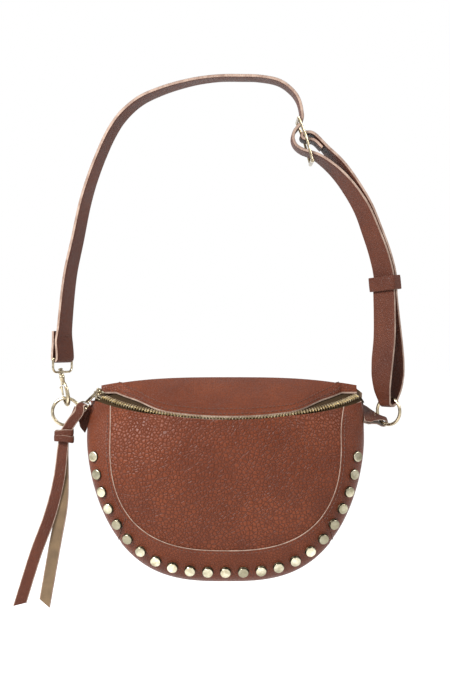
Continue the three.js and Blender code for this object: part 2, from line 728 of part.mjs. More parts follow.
// Through the adjuster: right of its top bar, left of its middle, right of its foot
const WEAVE_ROUTE = [
  [73.2, -47.5, 90], [68.8, -53.5, 90], [67.6, -60, 90], [70, -66.5, 90], [76, -71.4, 88],
  [84.5, -74.6, 86],
];
const INNER_ROUTE = [
  [94, -79, 82], [110, -92, 74], [124, -108.5, 66], [137, -129.5, 60], [146, -152, 55],
  [154, -175, 50], [159, -197, 46],
];
// Gap between the layers of the right-hand loop: height and middle-to-middle distance
const LOOP_GAPS = [
  [-212, LAYER_PITCH + 0.4, 1], [-232, 6.5, 1], [-258, 12, 1], [-280, 19, 1], [-296, 22, 0.92],
  [-310, 20, 0.74], [-319, 14, 0.58],
];
const SLIDE_BAR = vec(79.4, STRAP_Y, -57.5); // middle bar of the adjuster

function routeStations(route) {
  return route.map(([x, z, twist], i) => {
    const before = route[Math.max(i - 1, 0)];
    const after = route[Math.min(i + 1, route.length - 1)];
    const tx = after[0] - before[0];
    const tz = after[1] - before[1];
    return { p: vec(x, STRAP_Y, z), w: stripWide(tx, tz, twist), face: stripFace(tx, tz, twist) };
  });
}

function loopMiddle(z) {
  const share = THREE.MathUtils.clamp((-200 - z) / 60, 0, 1);
  return vec(THREE.MathUtils.lerp(159.6, 163, share), STRAP_Y, z);
}

function makeStrap() {
  const offset = (p, dir, d) => p.clone().addScaledVector(dir, d);
  const clasp = (dz, d) => ({ p: offset(claspBar, claspFace, d).add(vec(0, 0, dz)), w: claspWide });
  const fold = [
    clasp(27, -1.9), clasp(16, -2), clasp(8, -2.7), clasp(3, -3.1), clasp(0, -3.1), clasp(-2.2, -2.2),
    clasp(-3.1, 0), clasp(-2.2, 2.2), clasp(0, 3.1), clasp(3, 3.1), clasp(8, 2.7), clasp(16, 1.9),
  ];
  const layer = (side) => LOOP_GAPS.map(([z, gap, scale]) => (
    { p: offset(loopMiddle(z), loopFace, (side * gap) / 2), w: loopWide, scale }));
  const turn = [[0.35, LOOP_BOTTOM_Z + 1.6], [0, LOOP_BOTTOM_Z], [-0.35, LOOP_BOTTOM_Z + 1.6]];
  const bottom = turn.map(([share, z]) => (
    { p: offset(loopMiddle(z), loopFace, 14 * share), w: loopWide, scale: 0.48 }));
  const inner = routeStations(INNER_ROUTE);
  // distance of the outer layer from the inner one, from the adjuster down
  const spread = [11.5, 8.5, 5.6, 4.1, LAYER_PITCH, LAYER_PITCH, LAYER_PITCH + 0.2];
  const outer = inner.map((s, i) => ({ p: offset(s.p, s.face, -spread[i]), w: s.w })).reverse();
  const bar = (dx, dz) => ({ p: SLIDE_BAR.clone().add(vec(dx, 0, dz)), w: stripWide(-0.7, 0.7, 90) });
  const sewn = [
    bar(7.5, 2.4), bar(2.4, 3.1), bar(-2, 2.2), bar(-3.1, -0.6),
    bar(-1.4, -3), bar(2.4, -3.6), bar(9, -4.6), bar(17, -12),
  ];
  const stations = [
    ...fold,
    ...routeStations([...OVER_ROUTE, ...WEAVE_ROUTE]),
    ...inner,
    ...layer(1),
    ...bottom,
    ...layer(-1).reverse(),
    ...outer,
    ...sewn,
  ];
  const frames = stripFrames(stations, 150);
  add('strap', sweep(frames, rectangle(STRAP_WIDTH, STRAP_THICK)), leather());
}

function makeAdjuster() {
  const half = 15.8; // half the length of the bars
  const bars = [vec(72.6, STRAP_Y, -40.8), SLIDE_BAR, vec(86.5, STRAP_Y, -83)];
  const rod = (p, r) => toSolid(new THREE.CylinderGeometry(r, r, 2 * half + 2.4, 8))
    .translate([p.x, p.y, p.z]);
  const rail = (side) => {
    const frames = bars.map((p) => (
      { p: p.clone().add(vec(0, side * half, 0)), u: vec(0, 1, 0), v: vec(0.97, 0, 0.24) }));
    const top = frames[0].p.clone().lerp(frames[2].p, -0.02);
    const foot = frames[0].p.clone().lerp(frames[2].p, 1.02);
    const run = [{ ...frames[0], p: top }, frames[1], { ...frames[2], p: foot }];
    return toSolid(sweep(run, rectangle(2.4, 2.6)));
  };
  let solid = rail(-1).add(rail(1));
  solid = solid.add(rod(bars[0], 1.4)).add(rod(bars[1], 1.1)).add(rod(bars[2], 1.9));
  add('tri_glide', toGeometry(solid), gold());
}

function makeKeeper() {
  const middle = loopMiddle(-204).addScaledVector(loopFace, -0.1);
  const along = vec(0.1, 0, -1).normalize();
  const wide = loopWide.clone().addScaledVector(along, -loopWide.dot(along)).normalize();
  const thick = new THREE.Vector3().crossVectors(along, wide);
  const matrix = new THREE.Matrix4().makeBasis(wide, thick, along).setPosition(middle);
  const outer = box(STRAP_WIDTH + 6, 14.6, 14, 0, 0, 0);
  const inside = box(STRAP_WIDTH + 3, 11.8, 30, 0, 0, 0);
  add('strap_keeper', toGeometry(outer.subtract(inside)).applyMatrix4(matrix), leather());
}

// ---------------------------------------------------------------- swivel clasp

function hookMatrix() {
  const up = vec(-Math.sin(HOOK_LEAN), 0, Math.cos(HOOK_LEAN));
  const side = vec(Math.cos(HOOK_TURN), Math.sin(HOOK_TURN), 0);
  side.addScaledVector(up, -side.dot(up)).normalize();
  const out = new THREE.Vector3().crossVectors(up, side);
  return new THREE.Matrix4().makeBasis(side, out, up).setPosition(SWIVEL);
}

function makeClasp() {
  const matrix = hookMatrix();
  const half = CLASP_HALF;
  const low = SWIVEL.z - CLASP_BAR_Z;
  const corner = CLASP_CORNER;
  const points = [];
  for (const [cx, cz, start] of [[1, 0, 0], [-1, 0, 90], [-1, 1, 180], [1, 1, 270]]) {
    const r = cz === 0 ? 1.8 : corner;
    for (let k = 0; k <= 3; k += 1) {
      const a = rad(start + k * 30);
      const x = cx * (half - r) + r * Math.cos(a);
      const z = (cz === 0 ? -r : low + r) + r * Math.sin(a);
      points.push([x, z, Math.cos(a), Math.sin(a)]);
    }
  }
  const frames = points.map(([x, z, ca, sa]) => ({
    p: claspBar.clone().addScaledVector(claspWide, x).add(vec(0, 0, z)),
    u: claspWide.clone().multiplyScalar(ca).add(vec(0, 0, sa)),
    v: claspFace.clone().negate(),
  }));
  const wire = toSolid(sweep(frames, circle(1.1, 6), true));
  const inHook = (solid) => toSolid(toGeometry(solid).applyMatrix4(matrix));
  const rod = (r, h, z, sides = 12) => toSolid(new THREE.CylinderGeometry(r, r, h, sides)).rotate([90, 0, 0])
    .translate([0, 0, z]);
  const boss = inHook(rod(3, 3, 0));
  const bore = inHook(rod(1.55, 12, 0));
  add('clasp_loop', toGeometry(largestBody(wire.add(boss).subtract(bore))), gold());

  // Hook: swivel stem, barrel, and an oval body with a gap that the gate closes
  const oval = (rx, rz, thickness) => {
    const shape = new THREE.Shape();
    shape.absellipse(0, 0, rx, rz, 0, 2 * Math.PI, false);
    const options = { depth: thickness, bevelEnabled: false, curveSegments: 12 };
    const geometry = new THREE.ExtrudeGeometry(shape, options);
    geometry.translate(0, 0, -thickness / 2);
    geometry.rotateX(Math.PI / 2);
    return toSolid(geometry).translate([0, 0, -21.6]);
  };
  const ring = (thickness) => oval(7.6, 13.4, thickness).subtract(oval(4.7, 10, thickness + 2));
  const gap = box(8, 10, 11.4, -6.4, 0, -18.6);
  const stem = rod(1.2, 6.6, -0.2).add(rod(2.3, 1.6, 2.7)).add(rod(2.6, 5.4, -4.6));
  const body = stem.add(box(4.2, 4, 4, 0, 0, -8.2)).add(ring(3.4).subtract(gap));
  add('clasp_hook', toGeometry(body).applyMatrix4(matrix), gold());
  const gate = ring(3).intersect(box(8, 10, 10.2, -6.4, 0, -18.8)).add(box(3, 3, 2, -8.2, 0, -15.6));
  add('clasp_gate', toGeometry(largestBody(gate)).applyMatrix4(matrix), gold());
}

// ---------------------------------------------------------------- studs
// Points of the stud row: the outline moved in by STUD_INSET, put on the face
function studPlaces() {
  const loop = outlineLoop(STUD_INSET, CORNER_Z, STUD_INSET_BELOW);
  const line = loop.filter(([, z]) => z < STUD_TOP_Z);
  const top = (side) => [
    BODY_CENTRE_X + side * (outlineHalfWidth(STUD_TOP_Z, side) - STUD_INSET),
    STUD_TOP_Z,
  ];
  line.unshift(top(-1));
  line.push(top(1));
  const path = new THREE.CatmullRomCurve3(line.map(([x, z]) => vec(x, 0, z)));
  return path.getSpacedPoints(STUD_COUNT - 1);
}

function faceAt(x, z) {
  const angle = Math.asin(THREE.MathUtils.clamp((x - ZIP_CENTRE_X) / (ZIP_RADIUS + LIP_OFFSET), -0.79, 0.79));
  return vec(x, -faceDepth(x, z, zipPoint(angle, ZIP_RADIUS + LIP_OFFSET + LEATHER), 0), z);
}

function makeStuds() {
  const shoulder = STUD_HEIGHT * 0.55;
  const profile = [
    [0, 0],
    [STUD_RADIUS, 0],
    [STUD_RADIUS, shoulder],
    [STUD_RADIUS - 1, STUD_HEIGHT],
    [0, STUD_HEIGHT],
  ];
  const points = profile.map(([x, y]) => new THREE.Vector2(x, y));
  studPlaces().forEach((place, i) => {
    const step = 2.5;
    const p = faceAt(place.x, place.z);
    const dx = faceAt(place.x + step, place.z).sub(faceAt(place.x - step, place.z));
    const dz = faceAt(place.x, place.z + step).sub(faceAt(place.x, place.z - step));
    const normal = new THREE.Vector3().crossVectors(dx, dz).normalize();
    if (normal.y > 0) normal.negate();
    const lift = 1.9; // the flat foot clears the curved leather
    const turn = new THREE.Quaternion().setFromUnitVectors(vec(0, 1, 0), normal);
    const name = `stud_${String(i + 1).padStart(2, '0')}`;
    const mesh = add(name, new THREE.LatheGeometry(points, 9), agedBrass());
    mesh.position.copy(p.addScaledVector(normal, lift));
    mesh.quaternion.copy(turn);
  });
}

makeFront();
makeBack();
makeLinings();
makeTop();
makeZip();
makeSlider();
makePuller();
makeThong();
makeRing('left_ring', LEFT_RING, 0);
makeRing('right_ring', RIGHT_RING, -rad(RIGHT_RING_TURN));
makeTabs();
makeStrap();
makeAdjuster();
makeKeeper();
makeClasp();
makeStuds();

export default group;
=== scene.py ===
# A leather half-moon sling bag, hanging from its shoulder strap.
# Lengths are in millimetres in the tables below and become metres in new_mesh().
import json
import math
from math import cos, degrees, pi, radians, sin

import bpy
from mathutils import Matrix, Vector

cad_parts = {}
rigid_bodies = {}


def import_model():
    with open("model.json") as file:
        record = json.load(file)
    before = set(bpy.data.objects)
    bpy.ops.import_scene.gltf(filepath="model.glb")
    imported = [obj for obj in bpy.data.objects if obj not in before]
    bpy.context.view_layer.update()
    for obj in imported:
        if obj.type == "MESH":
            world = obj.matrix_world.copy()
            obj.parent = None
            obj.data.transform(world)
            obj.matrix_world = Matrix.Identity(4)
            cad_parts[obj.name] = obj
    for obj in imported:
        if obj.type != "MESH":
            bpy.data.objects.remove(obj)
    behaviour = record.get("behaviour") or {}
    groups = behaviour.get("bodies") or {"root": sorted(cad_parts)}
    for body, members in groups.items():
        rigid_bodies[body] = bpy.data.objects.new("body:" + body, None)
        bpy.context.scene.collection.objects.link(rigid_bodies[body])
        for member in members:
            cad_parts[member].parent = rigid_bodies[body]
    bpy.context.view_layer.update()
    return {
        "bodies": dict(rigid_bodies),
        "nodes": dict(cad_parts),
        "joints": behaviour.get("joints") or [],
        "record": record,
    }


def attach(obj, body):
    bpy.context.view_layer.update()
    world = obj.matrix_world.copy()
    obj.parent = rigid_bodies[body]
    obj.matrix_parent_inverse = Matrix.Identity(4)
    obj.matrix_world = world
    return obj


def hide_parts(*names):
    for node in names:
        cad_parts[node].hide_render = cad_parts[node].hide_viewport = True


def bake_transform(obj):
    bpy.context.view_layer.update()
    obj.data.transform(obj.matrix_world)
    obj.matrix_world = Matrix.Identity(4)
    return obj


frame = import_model()
MM = 0.001
FRAME_Y = 0.012  # the tables have the back of the bag on y = 0; the frame has the strap's middle there

CAMERA_DISTANCE = 1.25  # metres, like the other lengths of the stage
VIEW_CENTRE_Z, VIEW_HEIGHT = -0.258, 0.675
FLOOR_Z = -0.72

# ------------------------------------------------------------------ dimensions, as in the CAD model
GAP = 0.3
LEATHER = 1.8
HALF_WIDTH, HALF_HEIGHT, WIDEST_Z = 137, 142, -355
OUTLINE_POWER_X, OUTLINE_POWER_Z, REACH_POWER = 3.05, 1.75, 2.4
CORNER_Z, CORNER_IN_LEFT, CORNER_IN_RIGHT = -314, 7, -1
UPRIGHT_SHARE = 0.115  # part of each half of the outline that lies above the widest point
BODY_CENTRE_X = 0.5
BACK_TOP_Z, BACK_TOP_DROP = -298, 11
FACE_DEPTH, FACE_TAPER, SIDE_ROLL_POWER, BOTTOM_ROLL_POWER = 73, 20, 5, 8
FACE_SHOULDER = 41  # above this height over the widest point the face keeps its width
LIP_BLEND, FACE_CENTRE_Z = 30, -345
ZIP_SLOPE = radians(20)
ZIP_HALF_CHORD, ZIP_SAGITTA, ZIP_CENTRE_X, ZIP_CHORD_Y = 136, 67, 4, -2
ZIP_RADIUS = (ZIP_HALF_CHORD ** 2 + ZIP_SAGITTA ** 2) / (2 * ZIP_SAGITTA)
ZIP_END = math.asin(ZIP_HALF_CHORD / ZIP_RADIUS)
LIP_OFFSET = 5.2
LIP_DROOP, LIP_RISE, LIP_CORNER_DROP = 3.5, 2.2, 3
TOP_STRIP_WIDTH = 11
SEAM_HALF_WIDTH, SEAM_HALF_HEIGHT, SEAM_POWER = 112, 108.4, 2.65
SEAM_FLARE_LEFT, SEAM_FLARE_RIGHT = 3, 9
STRAP_Y, STRAP_WIDTH, STRAP_THICK = -12, 25, 3
LAYER_PITCH = STRAP_THICK + 0.6
RING_RADIUS, RING_WIRE = 13.5, 1.5
LEFT_RING = Vector((-159, STRAP_Y, -332.2))
RIGHT_RING = Vector((163.5, STRAP_Y, -331.5))
RIGHT_RING_TURN = radians(42)
STUD_RADIUS, STUD_HEIGHT = 5, 3.4

FORWARD = Vector((0, -cos(ZIP_SLOPE), -sin(ZIP_SLOPE)))
ZIP_UP = Vector((0, -sin(ZIP_SLOPE), cos(ZIP_SLOPE)))
ZIP_CENTRE = Vector((ZIP_CENTRE_X, ZIP_CHORD_Y, CORNER_Z + 1)) + FORWARD * (ZIP_SAGITTA - ZIP_RADIUS)


def lerp(a, b, t):
    return a + (b - a) * t


def clamp(value, low, high):
    return max(low, min(high, value))


# ------------------------------------------------------------------ camera, light and floor
def make_stage():
    camera = bpy.data.objects.new("camera", bpy.data.cameras.new("camera"))
    camera.location = (0, -CAMERA_DISTANCE, VIEW_CENTRE_Z)
    camera.rotation_euler = (radians(90), 0, 0)
    camera.data.lens = camera.data.sensor_width * CAMERA_DISTANCE / VIEW_HEIGHT
    bpy.context.collection.objects.link(camera)
    bpy.context.scene.camera = camera
    bpy.context.scene.view_settings.view_transform = "Standard"

    world = bpy.data.worlds.new("studio")
    bpy.context.scene.world = world
    world.use_nodes = True
    background = world.node_tree.nodes["Background"]
    background.inputs["Color"].default_value = (1, 1, 1, 1)
    background.inputs["Strength"].default_value = 1.0

    def area(name, place, aim, size, power):
        light = bpy.data.lights.new(name, "AREA")
        light.size = size
        light.energy = power
        lamp = bpy.data.objects.new(name, light)
        lamp.location = place
        direction = Vector(aim) - Vector(place)
        lamp.rotation_euler = direction.to_track_quat("-Z", "Y").to_euler()
        bpy.context.collection.objects.link(lamp)

    area("key_light", (-1.0, -1.0, 0.55), (0, 0, -0.36), 0.5, 60)
    area("fill_light", (1.0, -0.5, 0.5), (0, 0, -0.3), 0.4, 12)

    bpy.ops.mesh.primitive_plane_add(size=30, location=(0, 0, FLOOR_Z))
    floor = bpy.context.object
    floor.name = "floor"
    material = bpy.data.materials.new("floor")
    material.use_nodes = True
    shader = material.node_tree.nodes["Principled BSDF"]
    shader.inputs["Base Color"].default_value = (0.80, 0.80, 0.80, 1)
    shader.inputs["Emission Color"].default_value = (1, 1, 1, 1)
    shader.inputs["Emission Strength"].default_value = 0.22
    shader.inputs["Roughness"].default_value = 0.9
    floor.data.materials.append(material)


# ------------------------------------------------------------------ materials
class Shader:
    """A small wrapper that adds nodes to one material."""

    def __init__(self, name):
        self.material = bpy.data.materials.new(name)
        self.material.use_nodes = True
        self.tree = self.material.node_tree
        self.bsdf = self.tree.nodes["Principled BSDF"]
        self.place = self.node("ShaderNodeTexCoord").outputs["Object"]

    def node(self, kind, **values):
        made = self.tree.nodes.new(kind)
        for key, value in values.items():
            setattr(made, key, value)
        return made

    def link(self, source, target):
        self.tree.links.new(source, target)

    def texture(self, kind, scale, stretch=None, **inputs):
        made = self.node(kind)
        made.inputs["Scale"].default_value = scale
        for key, value in inputs.items():
            made.inputs[key].default_value = value
        source = self.place
        if stretch:
            mapping = self.node("ShaderNodeMapping")
            mapping.inputs["Scale"].default_value = stretch
            self.link(source, mapping.inputs["Vector"])
            source = mapping.outputs["Vector"]
        self.link(source, made.inputs["Vector"])
        return made

    def ramp(self, source, stops):
        made = self.node("ShaderNodeValToRGB")
        elements = made.color_ramp.elements
        while len(elements) < len(stops):
            elements.new(0.5)
        for element, (place, colour) in zip(elements, stops):
            element.position = place
            value = colour if isinstance(colour, tuple) else (colour, colour, colour)
            element.color = (*value, 1)
        self.link(source, made.inputs["Fac"])
        return made.outputs["Color"]

    def mix(self, factor, a, b, blend="MIX"):
        made = self.node("ShaderNodeMix", data_type="RGBA", blend_type=blend)
        for socket, value in ((made.inputs[0], factor), (made.inputs[6], a), (made.inputs[7], b)):
            if isinstance(value, bpy.types.NodeSocket):
                self.link(value, socket)
            elif isinstance(value, tuple):
                socket.default_value = (*value, 1)
            else:
                socket.default_value = value
        return made.outputs[2]

    def bump(self, height, distance, strength=1.0, previous=None):
        made = self.node("ShaderNodeBump")
        made.inputs["Distance"].default_value = distance
        made.inputs["Strength"].default_value = strength
        self.link(height, made.inputs["Height"])
        if previous:
            self.link(previous, made.inputs["Normal"])
        return made.outputs["Normal"]

    def finish(self, **values):
        for key, value in values.items():
            socket = self.bsdf.inputs[key.replace("_", " ")]
            if isinstance(value, bpy.types.NodeSocket):
                self.link(value, socket)
            elif isinstance(value, tuple):
                socket.default_value = (*value, 1)
            else:
                socket.default_value = value
        return self.material


def leather(name, base, dark, light, pebble, depth, rough):
    """Full-grain leather: pebble cells with painted shade in their creases, fine pores, broad dye clouds and
    lighter worn patches.
    """
    s = Shader(name)
    clouds = s.texture("ShaderNodeTexNoise", 14, Detail=4.0, Roughness=0.55).outputs["Fac"]
    patches = s.texture("ShaderNodeTexNoise", 55, Detail=3.0).outputs["Fac"]
    cells = s.texture("ShaderNodeTexVoronoi", pebble, Randomness=1.0)
    cells.feature = "DISTANCE_TO_EDGE"
    creases = s.ramp(cells.outputs["Distance"], [(0.0, 0.0), (0.1, 0.55), (0.26, 0.9), (0.55, 1.0)])
    pores = s.texture("ShaderNodeTexNoise", pebble * 2.6, Detail=5.0, Roughness=0.7).outputs["Fac"]
    dye = s.ramp(clouds, [(0.33, dark), (0.5, base), (0.68, light)])
    dye = s.mix(0.3, dye, s.ramp(patches, [(0.35, dark), (0.65, light)]))
    # painted shade: the creases between the pebble cells get a darker copy of the base colour
    colour = s.mix(creases, tuple(0.66 * c for c in base), dye)
    normal = s.bump(pores, 0.00014, 0.5)
    normal = s.bump(creases, 0.0004 * depth, 1.0, normal)
    gloss = s.ramp(patches, [(0.3, rough - 0.05), (0.7, rough + 0.07)])
    return s.finish(Base_Color=colour, Roughness=gloss, Normal=normal, Specular_IOR_Level=0.14)


def raw_edge():
    """Cut edge of undyed leather: pale, fibrous, in thin layers."""
    s = Shader("raw_edge")
    fibres = s.texture("ShaderNodeTexNoise", 900, stretch=(1, 1, 0.4), Detail=4.0).outputs["Fac"]
    stain = s.texture("ShaderNodeTexNoise", 90, Detail=3.0).outputs["Fac"]
    colour = s.ramp(fibres, [(0.3, (0.13, 0.078, 0.055)), (0.7, (0.26, 0.185, 0.145))])
    colour = s.mix(0.35, colour, s.ramp(stain, [(0.4, (0.08, 0.040, 0.026)), (0.6, (0.27, 0.20, 0.155))]))
    return s.finish(Base_Color=colour, Roughness=0.85, Normal=s.bump(fibres, 0.0002))


def suede(name, dark, light):
    """Flesh side of the leather: a short nap with brushed patches."""
    s = Shader(name)
    nap = s.texture("ShaderNodeTexNoise", 1600, Detail=4.0, Roughness=0.8).outputs["Fac"]
    brushed = s.texture("ShaderNodeTexNoise", 70, Detail=4.0).outputs["Fac"]
    broad, fine = s.ramp(brushed, [(0.35, dark), (0.65, light)]), s.ramp(nap, [(0.3, dark), (0.7, light)])
    colour = s.mix(0.4, broad, fine)
    return s.finish(
        Base_Color=colour, Roughness=0.95, Normal=s.bump(nap, 0.0003), Sheen_Weight=0.35, Sheen_Roughness=0.5
    )


def woven(name, dark, light, scale):
    """Plain weave from two crossed wave textures."""
    s = Shader(name)
    warp = s.texture("ShaderNodeTexWave", scale, Distortion=0.3)
    warp.bands_direction = "X"
    weft = s.texture("ShaderNodeTexWave", scale, Distortion=0.3)
    weft.bands_direction = "DIAGONAL"
    cross = s.mix(0.5, warp.outputs["Color"], weft.outputs["Color"])
    fuzz = s.texture("ShaderNodeTexNoise", 900, Detail=3.0).outputs["Fac"]
    yarns, fluff = s.ramp(cross, [(0.2, dark), (0.8, light)]), s.ramp(fuzz, [(0.3, dark), (0.7, light)])
    colour = s.mix(0.25, yarns, fluff)
    return s.finish(Base_Color=colour, Roughness=0.92, Normal=s.bump(cross, 0.00025), Specular_IOR_Level=0.12)


def metal(name, dark, light, rough, scuff, tarnish=0.0, uneven=0.0):
    """Plated metal with fine scuffs, tarnish patches if aged, and a tone that drifts from piece to piece."""
    s = Shader(name)
    scratches = s.texture("ShaderNodeTexNoise", 420, (1, 1, 6), Detail=4.0, Roughness=0.7).outputs["Fac"]
    patches = s.texture("ShaderNodeTexNoise", 160, Detail=4.0).outputs["Fac"]
    colour = s.ramp(patches, [(0.35, dark), (0.65, light)])
    if tarnish:
        spots = s.texture("ShaderNodeTexNoise", 330, Detail=6.0, Roughness=0.65).outputs["Fac"]
        mask = s.ramp(spots, [(0.42, 0.0), (0.62, tarnish)])
        colour = s.mix(mask, colour, tuple(0.25 * c for c in dark))
    if uneven:
        drift = s.texture("ShaderNodeTexNoise", 26, Detail=1.0).outputs["Fac"]
        mask = s.ramp(drift, [(0.44, uneven), (0.56, 0.0)])
        colour = s.mix(mask, colour, tuple(0.35 * c for c in dark))
    gloss = s.ramp(scratches, [(0.3, rough), (0.7, rough + scuff)])
    normal = s.bump(scratches, 0.00003, 0.6)
    return s.finish(Base_Color=colour, Roughness=gloss, Metallic=1.0, Normal=normal)


def thread():
    """Twisted sewing thread."""
    s = Shader("thread")
    twist = s.texture("ShaderNodeTexWave", 900, Distortion=1.0).outputs["Color"]
    colour = s.ramp(twist, [(0.2, (0.035, 0.010, 0.005)), (0.8, (0.085, 0.026, 0.012))])
    return s.finish(Base_Color=colour, Roughness=0.6, Normal=s.bump(twist, 0.0001))


BROWN = (0.084, 0.0185, 0.0060)
BROWN_DARK = (0.059, 0.012, 0.0038)
BROWN_LIGHT = (0.110, 0.026, 0.0088)
STRAP_BROWN, STRAP_DARK, STRAP_LIGHT = (0.066, 0.0175, 0.008), (0.046, 0.0115, 0.0055), (0.088, 0.026, 0.0125)
MATERIAL = {
    "pebbled": leather("leather_pebbled", BROWN, BROWN_DARK, BROWN_LIGHT, 290, 1.5, 0.42),
    "border": leather("leather_border", BROWN, BROWN_DARK, BROWN_LIGHT, 420, 0.8, 0.42),
    "strap": leather("leather_strap", STRAP_BROWN, STRAP_DARK, STRAP_LIGHT, 620, 0.8, 0.42),
    "edge": raw_edge(),
    "suede": suede("suede_tan", (0.058, 0.032, 0.012), (0.110, 0.066, 0.028)),
    "suede_dark": suede("suede_dark", (0.055, 0.030, 0.014), (0.10, 0.058, 0.028)),
    "tape": woven("zip_tape", (0.018, 0.010, 0.004), (0.042, 0.025, 0.010), 900),
    "lining": woven("lining_cloth", (0.11, 0.075, 0.042), (0.20, 0.145, 0.09), 700),
    "gold": metal("pale_gold", (0.26, 0.20, 0.12), (0.68, 0.59, 0.42), 0.13, 0.14, 0.5),
    "teeth": metal("zip_brass", (0.50, 0.40, 0.22), (0.86, 0.76, 0.54), 0.22, 0.15, 0.3),
    "stud": metal("aged_brass", (0.40, 0.36, 0.24), (0.66, 0.62, 0.47), 0.20, 0.16, 0.35, 0.75),
    # the studs' lower sides and spread foot: brass painted near-black as the shade round each stud, with
    # tarnish spots
    "stud_foot_painted_shade": metal("painted_shade_brass", (0.03, 0.024, 0.015), (0.08, 0.065, 0.04), 0.40, 0.15, 0.6),
    "thread": thread(),
}


# ------------------------------------------------------------------ mesh tools (millimetres in)
def new_mesh(name, points, faces, materials, material_of=None, sharp=40):
    """Mesh object from points in mm; material_of gives each face its number in the materials list."""
    mesh = bpy.data.meshes.new(name)
    mesh.from_pydata([Vector(p) * MM + Vector((0, FRAME_Y, 0)) for p in points], [], faces)
    for key in materials:
        mesh.materials.append(MATERIAL[key])
    if material_of:
        for face, number in zip(mesh.polygons, material_of):
            face.material_index = number
    mesh.validate()
    mesh.shade_smooth()
    mesh.set_sharp_from_angle(angle=radians(sharp))
    obj = bpy.data.objects.new(name, mesh)
    bpy.context.collection.objects.link(obj)
    return obj


def stand(obj, body, nodes=()):
    """Put a finished piece on its body; it stands for the CAD nodes named."""
    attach(obj, body)
    return cover(obj, nodes)


def cover(obj, nodes=()):
    """Hide the CAD nodes that a piece stands for."""
    if nodes:
        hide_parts(*nodes)
    return obj


def tube_faces(rings, size, closed=False, base=0):
    """Faces between rings of size points each, with a cap on both ends unless the tube is closed."""
    faces = []
    for i in range(rings if closed else rings - 1):
        here, there = base + i * size, base + (i + 1) % rings * size
        for k in range(size):
            n = (k + 1) % size
            faces.append((here + k, here + n, there + n, there + k))
    if not closed:
        faces.append(tuple(base + k for k in range(size - 1, -1, -1)))
        faces.append(tuple(base + (rings - 1) * size + k for k in range(size)))
    return faces


def thick_sheet(name, outer, inner, materials):
    """Closed sheet between two equal grids; the materials are those of outside, inside and cut edge."""
    rows, columns = len(outer), len(outer[0])
    points = [p for row in outer + inner for p in row]
    half = rows * columns
    faces, numbers = [], []
    for i in range(rows - 1):
        for j in range(columns - 1):
            a, b = i * columns + j, (i + 1) * columns + j
            faces.append((a, a + 1, b + 1, b))
            faces.append((half + a, half + b, half + b + 1, half + a + 1))
            numbers += [0, 1]
    rim = list(range(columns))
    rim += [i * columns + columns - 1 for i in range(1, rows)]
    rim += [(rows - 1) * columns + j for j in range(columns - 2, -1, -1)]
    rim += [i * columns for i in range(rows - 2, 0, -1)]
    for k, a in enumerate(rim):
        b = rim[(k + 1) % len(rim)]
        faces.append((b, a, half + a, half + b))
        numbers.append(2)
    return new_mesh(name, points, faces, materials, numbers)


def shell(name, columns, shares, pair, materials):
    """Thick sheet over a grid; pair(column, share) gives one point outside and one inside."""
    grid = [[pair(column, share) for share in shares] for column in columns]
    outer, inner = ([[both[side] for both in row] for row in grid] for side in (0, 1))
    return thick_sheet(name, outer, inner, materials)


def spline(stations, count):
    """Smooth, evenly spaced frames through stations (point, width direction, scale)."""
    points = [Vector(s[0]) for s in stations]
    wide = [Vector(s[1]).normalized() for s in stations]
    scale = [s[2] if len(s) > 2 else 1 for s in stations]
    knots = [0.0]
    for a, b in zip(points, points[1:]):
        knots.append(knots[-1] + max((b - a).length, 1e-6) ** 0.5)

    def at(values, i, t):
        last = len(values) - 1
        t0, t1, t2, t3 = (knots[clamp(k, 0, last)] for k in (i - 1, i, i + 1, i + 2))
        p0 = values[i - 1] if i > 0 else values[0] * 2 - values[1]
        p3 = values[i + 2] if i + 2 <= last else values[last] * 2 - values[last - 1]
        if i == 0:
            t0 = t1 - (t2 - t1)
        if i + 2 > last:
            t3 = t2 + (t2 - t1)
        p1, p2 = values[i], values[i + 1]
        m1 = ((p1 - p0) / (t1 - t0) - (p2 - p0) / (t2 - t0) + (p2 - p1) / (t2 - t1)) * (t2 - t1)
        m2 = ((p2 - p1) / (t2 - t1) - (p3 - p1) / (t3 - t1) + (p3 - p2) / (t3 - t2)) * (t2 - t1)
        a = p1 * 2 - p2 * 2 + m1 + m2
        b = p1 * -3 + p2 * 3 - m1 * 2 - m2
        return a * t ** 3 + b * t ** 2 + m1 * t + p1

    dense = []
    for i in range(len(points) - 1):
        for k in range(12):
            t = k / 12
            dense.append((at(points, i, t), wide[i].lerp(wide[i + 1], t), lerp(scale[i], scale[i + 1], t)))
    dense.append((points[-1], wide[-1], scale[-1]))
    lengths = [0.0]
    for a, b in zip(dense, dense[1:]):
        lengths.append(lengths[-1] + (b[0] - a[0]).length)
    frames = []
    k = 0
    for n in range(count + 1):
        target = lengths[-1] * n / count
        while k < len(dense) - 2 and lengths[k + 1] < target:
            k += 1
        t = (target - lengths[k]) / max(lengths[k + 1] - lengths[k], 1e-9)
        a, b = dense[k], dense[k + 1]
        frames.append([a[0].lerp(b[0], t), a[1].lerp(b[1], t), lerp(a[2], b[2], t)])
    for n, frame in enumerate(frames):
        before, after = frames[max(n - 1, 0)][0], frames[min(n + 1, count)][0]
        along = (after - before).normalized()
        width = (frame[1] - along * along.dot(frame[1])).normalized()
        frame[1] = width
        frame.append(along.cross(width))
    return [(p, w, f, s) for p, w, s, f in frames]


def sweep(name, frames, section, materials, numbers=None, closed=False, sharp=40):
    """Run a closed section of (width, face) points along frames (point, width, face, scale)."""
    points = []
    for p, w, f, s in frames:
        points += [p + w * (x * s) + f * y for x, y in section]
    faces = tube_faces(len(frames), len(section), closed)
    numbers = numbers or [0] * len(section)
    picks = numbers * (len(frames) if closed else len(frames) - 1)
    if not closed:
        picks += [max(numbers)] * 2
    return new_mesh(name, points, faces, materials, picks, sharp)


